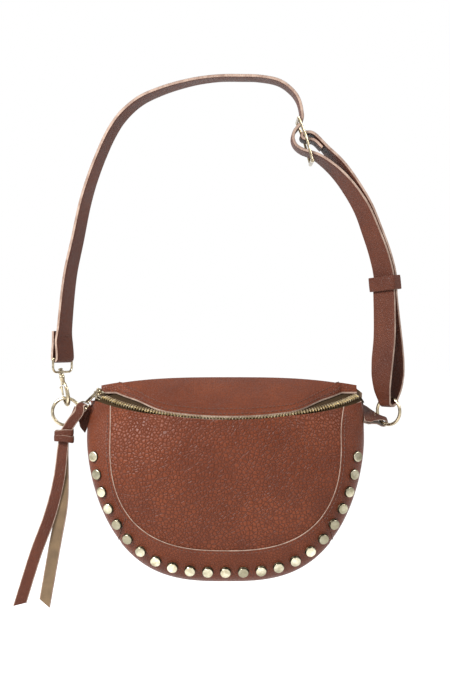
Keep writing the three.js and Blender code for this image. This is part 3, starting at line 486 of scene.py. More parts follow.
def strip_section(width, thick, bevel=0.5, crown=0.0):
    """Leather strip section: grain face, cut edges and flesh face, with material numbers 0, 2 and 1."""
    half, t = width / 2, thick / 2
    b = min(bevel, t * 0.9)
    grain = [((half - b) * k, t + crown * (1 - k * k)) for k in (-1, -0.75, -0.5, 0, 0.5, 0.75, 1)]
    edge = [(half, t - b * 0.6), (half + 0.05, 0), (half, -t + b * 0.6)]
    section = grain + edge
    section += [(-x, -y) for x, y in section]
    return section, [0] * 7 + [2] * 3 + [1] * 7 + [2, 2, 0]


def ring_section(radius, sides=12):
    return [(radius * cos(2 * pi * k / sides), radius * sin(2 * pi * k / sides)) for k in range(sides)]


def wire(name, path, radius, material, closed=False, sides=12, radii=None):
    """Round wire along points; radii may vary along it."""
    count = len(path)
    side = None
    points = []
    for i, p in enumerate(path):
        before = path[(i - 1) % count] if closed or i > 0 else p
        after = path[(i + 1) % count] if closed or i < count - 1 else p
        along = (Vector(after) - Vector(before)).normalized()
        if side is None:
            side = along.orthogonal().normalized()
        side = (side - along * along.dot(side)).normalized()
        up = along.cross(side)
        section = ring_section(radii[i] if radii else radius, sides)
        points += [Vector(p) + side * x + up * y for x, y in section]
    return new_mesh(name, points, tube_faces(count, sides, closed), [material], sharp=50)


def lathe(name, profile, matrix, materials, numbers=None, sides=32, sharp=40):
    """Turn a profile of (radius, height) about the matrix's Z axis."""
    points = [matrix @ Vector((x, y, h)) for r, h in profile for x, y in ring_section(r, sides)]
    numbers = numbers or [0] * (len(profile) - 1)
    picks = [number for number in numbers for _ in range(sides)] + [numbers[0], numbers[-1]]
    return new_mesh(name, points, tube_faces(len(profile), sides), materials, picks, sharp)


def rounded_plate(name, loops, thick, bevel, matrix, material):
    """Flat plate from closed outlines (the first outside, the rest holes), with rounded rims."""
    curve = bpy.data.curves.new(name, "CURVE")
    curve.dimensions = "2D"
    curve.fill_mode = "BOTH"
    curve.extrude = (thick / 2 - bevel) * MM
    curve.bevel_depth = bevel * MM
    curve.bevel_resolution = 3
    curve.offset = -bevel * MM
    for loop in loops:
        line = curve.splines.new("POLY")
        line.points.add(len(loop) - 1)
        for point, (x, y) in zip(line.points, loop):
            point.co = (x * MM, y * MM, 0, 1)
        line.use_cyclic_u = True
    holder = bpy.data.objects.new(name + "_curve", curve)
    bpy.context.collection.objects.link(holder)
    bpy.context.view_layer.update()
    mesh = bpy.data.meshes.new_from_object(holder.evaluated_get(bpy.context.evaluated_depsgraph_get()))
    bpy.data.objects.remove(holder)
    placed = matrix.copy()
    placed.translation = matrix.translation * MM + Vector((0, FRAME_Y, 0))
    mesh.transform(placed)
    mesh.materials.clear()
    mesh.materials.append(MATERIAL[material])
    for face in mesh.polygons:
        face.material_index = 0
    mesh.shade_smooth()
    mesh.set_sharp_from_angle(angle=radians(50))
    obj = bpy.data.objects.new(name, mesh)
    bpy.context.collection.objects.link(obj)
    return obj


def rounded_box(w, h, r, x=0, steps=5):
    """Outline of a box w by h with corners of radius r, centred at (x, 0)."""
    loop = []
    for cx, cy, start in ((1, 1, 0), (-1, 1, 90), (-1, -1, 180), (1, -1, 270)):
        for k in range(steps + 1):
            a = radians(start + 90 * k / steps)
            loop.append((x + cx * (w / 2 - r) + r * cos(a), cy * (h / 2 - r) + r * sin(a)))
    return loop


def frame_matrix(x, y, z, place):
    matrix = Matrix((Vector(x), Vector(y), Vector(z))).transposed().to_4x4()
    matrix.translation = Vector(place)
    return matrix


def join(name, *objects):
    """Make several pieces of one part into one mesh object."""
    bpy.ops.object.select_all(action="DESELECT")
    for obj in objects:
        obj.select_set(True)
    bpy.context.view_layer.objects.active = objects[0]
    bpy.ops.object.join()
    objects[0].name = name
    return objects[0]


def stitches(name, path, normals, pitch=4.2, length=3.1, radius=0.42):
    """Row of separate thread stitches along a path, half sunk into the leather."""
    # along the stitch: share of its length, share of its radius, and rise in radii
    stops = ((-0.5, 0.35, -0.35), (-0.36, 0.85, 0.0), (0, 1, 0.12), (0.36, 0.85, 0.0), (0.5, 0.35, -0.35))
    sides = 8
    run = [0.0]
    for a, b in zip(path, path[1:]):
        run.append(run[-1] + (b - a).length)
    points, faces = [], []
    count = int(run[-1] / pitch)
    k = 0
    for n in range(count):
        target = (n + 0.5) * run[-1] / count
        while k < len(run) - 2 and run[k + 1] < target:
            k += 1
        t = (target - run[k]) / max(run[k + 1] - run[k], 1e-9)
        middle = path[k].lerp(path[k + 1], t)
        normal = normals[k].lerp(normals[k + 1], t).normalized()
        along = (path[k + 1] - path[k]).normalized()
        side = along.cross(normal).normalized()
        faces += tube_faces(len(stops), sides, base=len(points))
        for share, size, rise in stops:
            place = middle + along * (share * length) + normal * (rise * radius)
            points += [place + side * x + normal * y for x, y in ring_section(radius * size, sides)]
    return new_mesh(name, points, faces, ["thread"], sharp=80)


# ------------------------------------------------------------------ bag surface
FRONT_END = 0.975  # columns of the front skin that the side borders reach on both sides


def outline_half_width(z, side):
    """Half width of the bag at height z, on the left (side -1) or the right (side 1)."""
    if z <= WIDEST_Z:
        low = min((WIDEST_Z - z) / HALF_HEIGHT, 1)
        return HALF_WIDTH * (1 - low ** OUTLINE_POWER_Z) ** (1 / OUTLINE_POWER_X)
    up = (z - WIDEST_Z) / (CORNER_Z - WIDEST_Z)
    return HALF_WIDTH - (CORNER_IN_LEFT if side < 0 else CORNER_IN_RIGHT) * up * up


def outline_point(a, inset=0.0):
    """Point (x, z) of the outline; a runs from -1 at the left corner, through the bottom, to 1."""
    side = -1 if a < 0 else 1
    along = 1 - abs(a)
    if along < UPRIGHT_SHARE:
        z = CORNER_Z + (WIDEST_Z - CORNER_Z) * (along / UPRIGHT_SHARE)
        return BODY_CENTRE_X + side * (outline_half_width(z, side) - inset), z
    angle = (along - UPRIGHT_SHARE) / (1 - UPRIGHT_SHARE) * (pi / 2)
    x = (HALF_WIDTH - inset) * max(cos(angle), 0) ** (2 / OUTLINE_POWER_X)
    z = WIDEST_Z - (HALF_HEIGHT - inset) * sin(angle) ** (2 / OUTLINE_POWER_Z)
    return BODY_CENTRE_X + side * x, z


def zip_point(angle, radius, rise=0.0):
    """Point in the zip's tilted plane, at an angle and a radius about the arc's centre."""
    across = Vector((radius * sin(angle), 0, 0))
    return ZIP_CENTRE + across + FORWARD * (radius * cos(angle)) + ZIP_UP * rise


def face_depth(x, z, lip):
    """How far the front skin stands before the back plane at (x, z), below a lip point."""
    side = -1 if x < BODY_CENTRE_X else 1
    dx = abs(x - BODY_CENTRE_X)
    across = min(dx / HALF_WIDTH, 1)
    if z < WIDEST_Z:
        down_share = (WIDEST_Z - z) / HALF_HEIGHT
        reach = min((across ** OUTLINE_POWER_X + down_share ** OUTLINE_POWER_Z) ** (1 / REACH_POWER), 1)
    else:
        wide = outline_half_width(min(z, WIDEST_Z + FACE_SHOULDER), side)
        reach = min(dx / max(wide, 1), 1) ** (OUTLINE_POWER_X / REACH_POWER)
    down = clamp((FACE_CENTRE_Z - z) / (HALF_HEIGHT + 10), 0, 1)
    steep = math.atan2(down, across) / (pi / 2)
    power = lerp(SIDE_ROLL_POWER, BOTTOM_ROLL_POWER, steep)
    roll = (1 - reach ** power) ** (1 / power)
    full = (FACE_DEPTH - FACE_TAPER * reach * reach) * roll
    blend = 1 - math.exp(-max(lip.z - z, 0) / LIP_BLEND)
    return -lip.y + (full + lip.y) * blend


def soft_wave(x, z):
    """Gentle unevenness of soft leather, in mm."""
    wave = 0.9 * sin(x / 31 + 0.6 * sin(z / 23)) * sin(z / 27 + 0.8) + 0.45 * sin(x / 13 + z / 19)
    return wave + 0.25 * sin(x / 7.3 - z / 9.1)


def smooth(value):
    """Ease from 0 to 1 with level ends."""
    t = clamp(value, 0, 1)
    return t * t * (3 - 2 * t)


def lip_drop(a):
    """How far the front lip hangs below the zip's plane: raised in the middle, drooping at both ends."""
    out = abs(a)
    corner = clamp((out - 0.88) / 0.1, 0, 1)
    droop = LIP_DROOP * smooth((out - 0.5) / 0.45)
    return droop - LIP_RISE * smooth((0.58 - out) / 0.25) + LIP_CORNER_DROP * corner * corner


def front_point(a, share):
    """Point of the front skin between the zip lip (share 0) and the outline (share 1)."""
    lip = zip_point(a * ZIP_END, ZIP_RADIUS + LIP_OFFSET + LEATHER, -lip_drop(a))
    lip.x = min(lip.x, BODY_CENTRE_X + HALF_WIDTH - 2)
    edge_x, edge_z = outline_point(a)
    t = sin(share * pi / 2)
    x, z = lerp(lip.x, edge_x, t), lerp(lip.z, edge_z, t)
    depth = GAP if t >= 0.9999 else max(face_depth(x, z, lip), GAP)
    fade = clamp(4 * t * (1 - t), 0, 1) ** 0.5
    point = Vector((x, -depth - 1.15 * soft_wave(x, z) * fade * (1 - t * t), z))
    # the first fiftieth of the way leans onto the lip itself
    return point.lerp(lip, clamp(1 - t / 0.02, 0, 1)) if t < 0.02 else point


def front_normal(a, share):
    """Outward direction of the front skin."""
    step = 0.004
    da = front_point(min(a + step, 1), share) - front_point(max(a - step, -1), share)
    ds = front_point(a, min(share + step, 1)) - front_point(a, max(share - step, 0))
    normal = da.cross(ds).normalized()
    return -normal if normal.y > 0.2 or (abs(normal.y) <= 0.2 and normal.x * a < 0) else normal


def seam_reach(x, z, shift):
    """Under 1 inside the border's inner edge moved in by shift, over 1 outside it."""
    dx = abs(x - BODY_CENTRE_X)
    if z < WIDEST_Z:
        across = dx / (SEAM_HALF_WIDTH - shift)
        down = (WIDEST_Z - z) / (SEAM_HALF_HEIGHT - shift)
        return (across ** SEAM_POWER + down ** SEAM_POWER) ** (1 / SEAM_POWER)
    up = (z - WIDEST_Z) / (CORNER_Z - WIDEST_Z)
    flare = SEAM_FLARE_LEFT if x < BODY_CENTRE_X else SEAM_FLARE_RIGHT
    return dx / (SEAM_HALF_WIDTH - shift + flare * up * up)


def share_at_seam(a, shift=0.0):
    """Share of the way down the skin at column a where the border's inner edge is crossed."""
    low, high = 0.0, 1.0
    start = front_point(a, 0.0)
    if seam_reach(start.x, start.z, shift) >= 1:
        return 0.0
    for _ in range(34):
        middle = (low + high) / 2
        p = front_point(a, middle)
        if seam_reach(p.x, p.z, shift) < 1:
            low = middle
        else:
            high = middle
    return (low + high) / 2


def back_top(x):
    """Height of the back panel's upper edge."""
    share = min(abs(x - ZIP_CENTRE_X) / ZIP_HALF_CHORD, 1)
    return BACK_TOP_Z - BACK_TOP_DROP * share ** 3


def skin_patch(name, columns, start, end, rows, lift, thick, materials):
    """Patch of the front skin over columns a, from share start(a) to end(a), raised by lift."""
    def pair(column, t):
        a, share = column[0], lerp(column[1], column[2], t)
        p, n = front_point(a, share), front_normal(a, share)
        return p + n * lift, p + n * (lift - thick)

    spans = [(a, start(a), end(a)) for a in columns]
    return shell(name, spans, spread(0, 1, rows), pair, materials)


def skin_line(columns, share, lift):
    """Points along the front skin at share(a), raised by lift, and the skin's normals there."""
    path, normals = [], []
    for a in columns:
        s = share(a)
        n = front_normal(a, s)
        path.append(front_point(a, s) + n * lift)
        normals.append(n)
    return path, normals


def spread(start, end, count):
    return [lerp(start, end, k / count) for k in range(count + 1)]


# ------------------------------------------------------------------ bag panels
LEATHER_SET = ("pebbled", "suede", "edge")
BORDER_SET = ("border", "suede", "edge")
CLOTH_SET = ("lining",) * 3


def seam_columns():
    """Columns where the border's inner seam leaves the zip lip on the left and on the right."""
    left = next(a for a in spread(-0.97, 0, 400) if share_at_seam(a) > 0.002)
    right = next(a for a in spread(0.97, 0, 400) if share_at_seam(a) > 0.002)
    return left, right


def make_front():
    left, right = seam_columns()
    joint = 0.39  # column where a side border meets the bottom one
    panel = skin_patch(
        "front_centre", spread(left, right, 170), lambda a: 0.0, lambda a: max(share_at_seam(a, -6), 0.004),
        64, 0.35, LEATHER, LEATHER_SET,
    )
    stand(panel, "bag", ["front_panel"])

    overlap = 0.012  # the side borders lie under the bottom one by this much
    for node, start, end, low, high, lift in (
        ("border_left", -FRONT_END, -joint, -FRONT_END, -joint + overlap, 0.75),
        ("border_bottom", -joint, joint, -joint, joint, 1.25),
        ("border_right", joint, FRONT_END, joint - overlap, FRONT_END, 0.75),
    ):
        columns = spread(low, high, int(abs(end - start) * 110))
        patch = skin_patch(
            node + "_leather", columns, share_at_seam, lambda a: 1.0, 30, lift, LEATHER - 0.3, BORDER_SET
        )
        stand(patch, "bag", [node])

    # cut edge of the border, a thin pale line along the seam
    edges = (("a", left, -joint, 0.5), ("b", -joint, joint, 0.8), ("c", joint, right, 0.5))
    for name, start, end, lift in edges:
        path, normals = skin_line(spread(start, end, 120), lambda a: share_at_seam(a, 0.3), lift)
        frames = []
        for i, (p, n) in enumerate(zip(path, normals)):
            along = (path[min(i + 1, len(path) - 1)] - path[max(i - 1, 0)]).normalized()
            frames.append((p, along.cross(n).normalized(), n, 1))
        stand(sweep("border_edge_" + name, frames, ring_section(0.45, 8), ["edge"], sharp=80), "bag")

    # seam that holds the border, and one across each of its joins
    path, normals = skin_line(spread(left + 0.01, right - 0.01, 700), lambda a: share_at_seam(a, -2.6), 1.0)
    stand(stitches("border_stitches", path, normals), "bag")
    for name, a in (("left", -joint - 0.02), ("right", joint + 0.02)):
        shares = spread(share_at_seam(a, -3), 0.97, 39)
        normals = [front_normal(a, share) for share in shares]
        path = [front_point(a, share) + n * 1.1 for share, n in zip(shares, normals)]
        stand(stitches("join_stitches_" + name, path, normals), "bag")


def make_back():
    rim = [outline_point(a) for a in spread(-1, 1, 96)]
    rim = [(x, min(z, CORNER_Z)) for x, z in rim]
    top_edge = [lerp(rim[-1][0], rim[0][0], i / 30) for i in range(1, 30)]
    rim += [(x, back_top(x) - GAP) for x in top_edge]
    centre_x, centre_z = BODY_CENTRE_X, -380
    outer, inner = [], []
    for share in (0, 0.15, 0.3, 0.45, 0.6, 0.72, 0.82, 0.9, 0.95, 0.98, 1):
        for x, z in rim:
            px, pz = lerp(centre_x, x, share), lerp(centre_z, z, share)
            bulge = 1.1 * (1 - share ** 4) + 0.35 * soft_wave(px, pz) * (1 - share ** 2)
            outer.append(Vector((px, GAP + LEATHER + bulge, pz)))
            inner.append(Vector((px, GAP + min(bulge, 0.8), pz)))
    count, half = len(rim), len(outer)
    faces, numbers = [], []
    for a in range(half - count):
        # the first ring lies on the centre, so its faces are triangles
        b = a + 1 if (a + 1) % count else a + 1 - count
        c, d = b + count, a + count
        first = a < count
        faces.append((a, c, d) if first else (a, b, c, d))
        faces.append((half + a, half + d, half + c) if first else (half + a, half + d, half + c, half + b))
        numbers += [0, 1]
    last = half - count
    for k in range(count):
        n = (k + 1) % count
        faces.append((last + k, last + n, half + last + n, half + last + k))
        numbers.append(2)
    back = new_mesh("back_leather", outer + inner, faces, ("pebbled", "suede_dark", "edge"), numbers)
    stand(back, "bag", ["back_panel"])

    seam = [outline_point(a, 5) for a in spread(-0.96, 0.96, 299)]
    path = [Vector((x, GAP + LEATHER + 0.45, z)) for x, z in seam]
    stand(stitches("back_stitches", path, [Vector((0, 1, 0))] * len(path)), "bag")


def rear_lip(angle):
    """Radius of the rear leather lip; it leaves more of the tape bare towards both ends."""
    room = (-zip_point(angle, ZIP_RADIUS).y - 3.4) / (cos(angle) * cos(ZIP_SLOPE))
    return ZIP_RADIUS - min(LIP_OFFSET + 11 * smooth((abs(degrees(angle)) - 20) / 18), room)


def top_point(angle, t, drop=0.0):
    """Point of the top panel between the back's upper edge (t 0) and the zip lip (t 1)."""
    lip = zip_point(angle, rear_lip(angle))
    back = Vector((lip.x, -GAP, back_top(lip.x)))
    p = back.lerp(lip, t)
    p.z += 10 * t * (1 - t) - drop + 0.5 * soft_wave(p.x, p.y * 1.7 - 40) * (4 * t * (1 - t))
    return p


def strip_share(angle, back_by):
    """How far along the top panel a line lies that runs back_by mm behind the zip lip."""
    lip = zip_point(angle, rear_lip(angle))
    line = zip_point(angle, rear_lip(angle) - back_by)
    reach = lip.y + GAP
    return clamp((line.y + GAP) / reach, 0.0, 1.0) if reach < -0.5 else 0.0


TOP_SPAN = radians(50.5)


def bend(obj, nodes=()):
    """A piece of the top, with its transform baked into its mesh; it stands for the CAD nodes named."""
    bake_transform(obj)
    return cover(obj, nodes)


def top_patch(name, start, end, rows, lift, thick, materials, span=TOP_SPAN):
    """Patch of the top panel from share start(angle) to end(angle), raised by lift."""
    def pair(column, t):
        angle, share = column[0], lerp(column[1], column[2], t)
        return top_point(angle, share, -lift), top_point(angle, share, thick - lift)

    spans = [(angle, start(angle), end(angle)) for angle in spread(-span, span, 150)]
    return shell(name, spans, spread(0, 1, rows), pair, materials)


def behind_lip(distance):
    return lambda angle: strip_share(angle, distance)


def make_top():
    panel = top_patch("top_leather", lambda angle: 0.0, behind_lip(6), 26, 0.0, LEATHER, BORDER_SET)
    bend(panel, ["top_panel"])
    strip = top_patch("top_strip", behind_lip(TOP_STRIP_WIDTH), lambda angle: 1.0, 8, 0.75, 1.6, BORDER_SET)
    bend(strip, ["top_zip_strip"])

    up = Vector((0, -0.25, 0.97))
    for name, distance in (("strip_stitches", TOP_STRIP_WIDTH - 2.4), ("rear_lip_stitches", 2.6)):
        angles = spread(-radians(46), radians(46), 500)
        path = [top_point(angle, strip_share(angle, distance), -0.95) for angle in angles]
        bend(stitches(name, path, [up] * len(path)))

    cloth = top_patch(
        "top_cloth", lambda angle: 0.03, behind_lip(8), 14, -LEATHER - 0.9, 0.6, CLOTH_SET, radians(42)
    )
    bend(cloth, ["lining_top"])


def make_linings():
    def front_pair(a, share):
        p, n = front_point(a, share), front_normal(a, share)
        ripple = 0.35 * sin(a * 40 + share * 9)
        return p - n * (3.0 + ripple), p - n * (3.6 + ripple)

    front = shell("front_cloth", spread(-0.95, 0.95, 90), spread(0.02, 0.93, 24), front_pair, CLOTH_SET)
    stand(front, "bag", ["lining_front"])

    def flat_cloth(name, left, right, top, foot, y, thick, node, wrinkle):
        def pair(x, t):
            z = lerp(top, foot(x), t)
            wave = wrinkle * (sin(x / 9 + z / 21) + 0.6 * sin(x / 17 - z / 8)) * (1 - abs(2 * t - 1) ** 4)
            face = Vector((x, y - 0.3 + min(wave, 0), z))
            return face, face + Vector((0, thick, 0))

        cloth = shell(name, spread(left, right, 48), spread(0, 1, 30), pair, CLOTH_SET)
        stand(cloth, "bag", [node])

    def floor_height(x):
        across = min(abs(x - BODY_CENTRE_X) / (HALF_WIDTH - 6), 1)
        return WIDEST_Z - (HALF_HEIGHT - 6) * (1 - across ** OUTLINE_POWER_X) ** (1 / OUTLINE_POWER_Z)

    flat_cloth("back_cloth", -130, 131, -322, floor_height, -0.5, 0.5, "lining_back", 0.3)
    flat_cloth("pocket_cloth", -70, 72, -330, lambda x: -430, -2.0, 0.7, "slip_pocket", 0.5)


# ------------------------------------------------------------------ zip
TOOTH_PITCH = 3.1
TEETH_START, TEETH_END = radians(-47.5), radians(48)
TAPE_END, REAR_TAPE_START = radians(49.5), radians(-47.4)


def arc_band(name, inner, outer, rise, thick, start, end, droops=False):
    """Band of tape along the zip from radius inner(angle) to outer; a drooping one follows the front lip."""
    def pair(angle, t):
        lift = rise + 0.1 * sin(angle * 60) * t
        if droops:
            lift -= lip_drop(angle / ZIP_END) * t ** 1.5
        radius = lerp(inner(angle), outer, t)
        return zip_point(angle, radius, lift + thick / 2), zip_point(angle, radius, lift - thick / 2)

    return shell(name, spread(start, end, 150), spread(0, 1, 6), pair, ("tape",) * 3)


def tooth(points, faces, angle, side):
    """One tooth: a clamp over the tape's bead and a slimmer head that meshes with the other row."""
    # distance out from the zip's middle, half length along it and half height
    rings = ((3.6, 0.40, 1.1), (3.1, 0.55, 1.5), (1.1, 0.55, 1.5), (0.1, 0.50, 1.4), (-0.8, 0.32, 0.9))
    made = tube_faces(len(rings), 8, base=len(points))
    faces += made if side < 0 else [face[::-1] for face in made]
    centre = zip_point(angle, ZIP_RADIUS)
    across = (zip_point(angle, ZIP_RADIUS + 1) - centre).normalized()
    along = ZIP_UP.cross(across).normalized()
    for reach, half_long, half_high in rings:
        for k in range(8):
            a = 2 * pi * (k + 0.5) / 8
            x = half_long * clamp(1.25 * cos(a), -1, 1)
            z = half_high * clamp(1.25 * sin(a), -1, 1)
            points.append(centre + across * (side * reach) + along * x + ZIP_UP * z)


def tooth_row(name, side):
    pitch = TOOTH_PITCH / ZIP_RADIUS
    points, faces = [], []
    for n in range(math.ceil(TEETH_START / pitch), int(TEETH_END / pitch) + 1):
        tooth(points, faces, (n + (0.5 if side < 0 else 0)) * pitch, side)
    return new_mesh(name, points, faces, ["teeth"], sharp=45)


def make_zip():
    # the tapes end at the teeth on one side and run under the leather lips on the other
    front_bead, rear_bead = ZIP_RADIUS + 1.2, ZIP_RADIUS - 1.2
    front = arc_band(
        "front_tape", lambda angle: front_bead, ZIP_RADIUS + 6.6, -1.9, 0.6, -TAPE_END, TAPE_END, droops=True
    )
    stand(front, "bag", ["zip_tape_front"])
    rear = arc_band(
        "rear_tape", lambda angle: rear_lip(angle) - 4, rear_bead, -2.1, 0.6, REAR_TAPE_START, TAPE_END
    )
    bend(rear, ["zip_tape_rear"])
    stand(tooth_row("front_teeth", 1), "bag", ["zip_teeth_front"])
    bend(tooth_row("rear_teeth", -1), ["zip_teeth_rear"])


SLIDER_ANGLE = radians(-49.3)
PULLER_TOP = zip_point(SLIDER_ANGLE, ZIP_RADIUS, 5.4)
EYE = Vector((-139.5, -22.5, -324.5))
PULL_DOWN = (EYE - PULLER_TOP).normalized()
PULL_WIDE = PULL_DOWN.cross(ZIP_UP).normalized()
PULL_FACE = PULL_DOWN.cross(PULL_WIDE)


def make_slider():
    centre = zip_point(SLIDER_ANGLE, ZIP_RADIUS)
    along = (zip_point(SLIDER_ANGLE + 0.001, ZIP_RADIUS) - centre).normalized()
    across = ZIP_UP.cross(along)

    def plate(name, loop, thick, bevel, x, z):
        place = centre + along * x + ZIP_UP * z
        return rounded_plate(name, [loop], thick, bevel, frame_matrix(along, across, ZIP_UP, place), "gold")

    # the plates widen towards the end where the two rows of teeth come together
    wing = [(-5.2, -2.6), (-4.4, -3.4), (2.4, -4.1), (5.0, -3.2)]
    wing += [(x, -y) for x, y in reversed(wing)]
    pieces = [
        plate("slider_top", wing, 1.7, 0.55, 0, 2.6),
        plate("slider_foot", wing, 1.3, 0.45, 0, -3),
        plate("slider_post", rounded_box(1.0, 0.7, 0.25, steps=1), 5.2, 0.0, -3.4, -0.4),
    ]
    # ears and pin of the lug that carries the puller
    lug_x = PULL_WIDE.cross(ZIP_UP).normalized()
    ear = [(-1.6, -3.4), (1.6, -3.4), (1.6, 0.2), (1.1, 1.1), (0, 1.5), (-1.1, 1.1), (-1.6, 0.2)]
    for side in (-1, 1):
        matrix = frame_matrix(lug_x, ZIP_UP, lug_x.cross(ZIP_UP), PULLER_TOP + PULL_WIDE * (side * 2))
        pieces.append(rounded_plate("ear", [ear], 0.9, 0.25, matrix, "gold"))
    pin = [PULLER_TOP + PULL_WIDE * k for k in (-2.6, -2.4, 2.4, 2.6)]
    pieces.append(wire("pin", pin, 0.7, "gold", radii=[0.5, 0.7, 0.7, 0.5]))
    stand(join("slider_body", *pieces), "slider", ["zip_slider"])


def bored_tube(name, place, stops, bore, sides):
    """Turned tube with a bore: place(x, y, height) gives a point, stops are its (radius, height) pairs."""
    turn = ring_section(1, sides) + [(1, 0)]
    outer = [[place(r * x, r * y, h) for r, h in stops] for x, y in turn]
    inner = [[place(bore * x, bore * y, h) for _, h in stops] for x, y in turn]
    return thick_sheet(name, outer, inner, ("gold",) * 3)


def make_puller():
    length = (EYE - PULLER_TOP).length

    def on_pin(x, y, height):
        return PULLER_TOP + PULL_DOWN * x + PULL_FACE * y + PULL_WIDE * height

    knuckle = bored_tube("knuckle", on_pin, [(1.9, -1.2), (1.9, 0), (1.9, 1.2)], 1.0, 20)
    half_loop = [(1.2, 1.8), (length - 4, 2.1), (length - 2.8, 4.6), (length - 2.2, 6.2), (length + 3.2, 6.7),
                 (length + 4.4, 5.4)]
    loop = [(x, -y) for x, y in half_loop] + half_loop[::-1]
    slot = rounded_box(4.8, 10.8, 1.6, length - 0.2)
    matrix = frame_matrix(PULL_DOWN, PULL_WIDE, PULL_FACE, PULLER_TOP)
    plate = rounded_plate("plate", [loop, slot], 1.5, 0.5, matrix, "gold")
    stand(join("puller_plate", knuckle, plate), "puller", ["zip_puller"])


# ------------------------------------------------------------------ pull thong
def thong_station(x, y, z, turn, scale=1.0):
    """Place of the thong, its width turned from level by turn degrees, and the width's scale."""
    return Vector((x, y, z)), Vector((cos(radians(turn)), 0, sin(radians(turn)))), scale


def at_eye(along, out):
    """Station of the thong where it turns through the puller's eye."""
    front = 1 if PULL_FACE.y < 0 else -1
    wide = PULL_WIDE * (1 if PULL_WIDE.x > 0 else -1)
    return EYE + PULL_DOWN * along + PULL_FACE * (front * out), wide, 0.85


THONG_WIDTH, THONG_THICK = 9.5, 1.6
KNOT = Vector((-158.9, -27.6, -355))
# from the longer free end up to the eye, through it, and down to the other end
THONG_UP = [
    (-203, -25, -522, -17, 1.15), (-187, -25, -471, -17, 1.15), (-173, -25, -433, -17, 1.15),
    (-164, -27, -398, -10, 1.1), (-160, -28, -366, 0), (-158, -28.4, -353, -20, 0.9),
    (-151, -30, -341, -35, 0.9), (-144, -31, -332, -30, 0.85),
]
THONG_TURN = [(5, 2.6), (2.6, 2.6), (0.6, 1.8), (0.2, 0), (0.6, -1.8), (2.6, -2.6), (5, -2.6)]
THONG_DOWN = [
    (-144.5, -21.3, -331, -30, 0.85), (-152, -24.2, -342, -35, 0.9), (-159, -25.4, -354, -20, 0.9),
    (-160, -25.4, -366, 0), (-161, -24, -420, -4, 1.1), (-169, -21, -465, -10, 1.15),
    (-179, -21, -522, -10, 1.15),
]


def make_thong():
    stations = [thong_station(*place) for place in THONG_UP]
    stations += [at_eye(*place) for place in THONG_TURN]
    stations += [thong_station(*place) for place in THONG_DOWN]
    section, numbers = strip_section(THONG_WIDTH, THONG_THICK, 0.35)
    frames = spline(stations, 420)
    if frames[10][2].y > 0:
        # the face direction points back, so the grain and flesh faces change places
        section = [(x, -y) for x, y in section][::-1]
        numbers = numbers[:-1][::-1] + numbers[-1:]
    # both free ends are cut on a slant
    cut = 14
    for n in range(cut):
        slant = 0.6 * (1 - n / cut)
        for index, beyond, side in ((n, 20, -1), (-1 - n, -21, 1)):
            p, wide, face, size = frames[index]
            along = (p - frames[beyond][0]).normalized()
            frames[index] = (p, wide + along * (slant * side), face, size)
    pieces = [sweep("thong_strip", frames, section, ("strap", "suede", "edge"), numbers)]
    # the pale cut edges stand a little proud of the pressed face
    for side in (-1, 1):
        line = [p + wide * (4.6 * size * side) for p, wide, _, size in frames]
        pieces.append(wire("thong_edge", line, 0.75, "edge", sides=8))
    stand(join("thong_strip", *pieces), "thong", ["pull_thong"])

    # the knot: two turns of the thong drawn tight, with their pale edges meeting
    bands = []
    section, numbers = strip_section(6.2, 1.3, 0.35, 0.2)
    count = 64
    for n, (rise, tilt, grow) in enumerate(((2.7, 5, 0.0), (-2.7, -6, 0.3))):
        path = []
        for k in range(count):
            a = 2 * pi * k / count
            x = 8.6 * clamp(1.12 * cos(a), -1, 1) + grow * cos(a)
            height = rise + x * math.tan(radians(tilt)) + 0.35 * sin(3 * a)
            path.append(KNOT + Vector((x, (5.0 + grow) * sin(a), height)))
        frames = []
        for k, p in enumerate(path):
            along = (path[(k + 1) % count] - path[k - 1]).normalized()
            up = (Vector((0, 0, 1)) - along * along.z).normalized()
            frames.append((p, up, along.cross(up), 1))
        bands.append(sweep(f"knot_{n}", frames, section, ("strap", "strap", "edge"), numbers, closed=True))
        rim = [p + up * 2.75 for p, up, _, _ in frames]
        bands.append(wire(f"knot_rim_{n}", rim, 0.6, "edge", closed=True, sides=8))
    stand(join("thong_knot", *bands), "thong", ["thong_wrap"])


# ------------------------------------------------------------------ rings and tabs
def ring_point(centre, turn, angle):
    """Point on the middle of a ring's wire; turn is the ring's own turn about the vertical."""
    across = Vector((cos(turn), sin(turn), 0))
    return centre + across * (RING_RADIUS * cos(angle)) + Vector((0, 0, RING_RADIUS * sin(angle)))


def make_ring(node, centre, turn):
    path = [ring_point(centre, turn, 2 * pi * k / 96) for k in range(96)]
    ring = wire(node + "_wire", path, RING_WIRE + 0.15, "gold", closed=True, sides=16)
    stand(ring, node, [node])


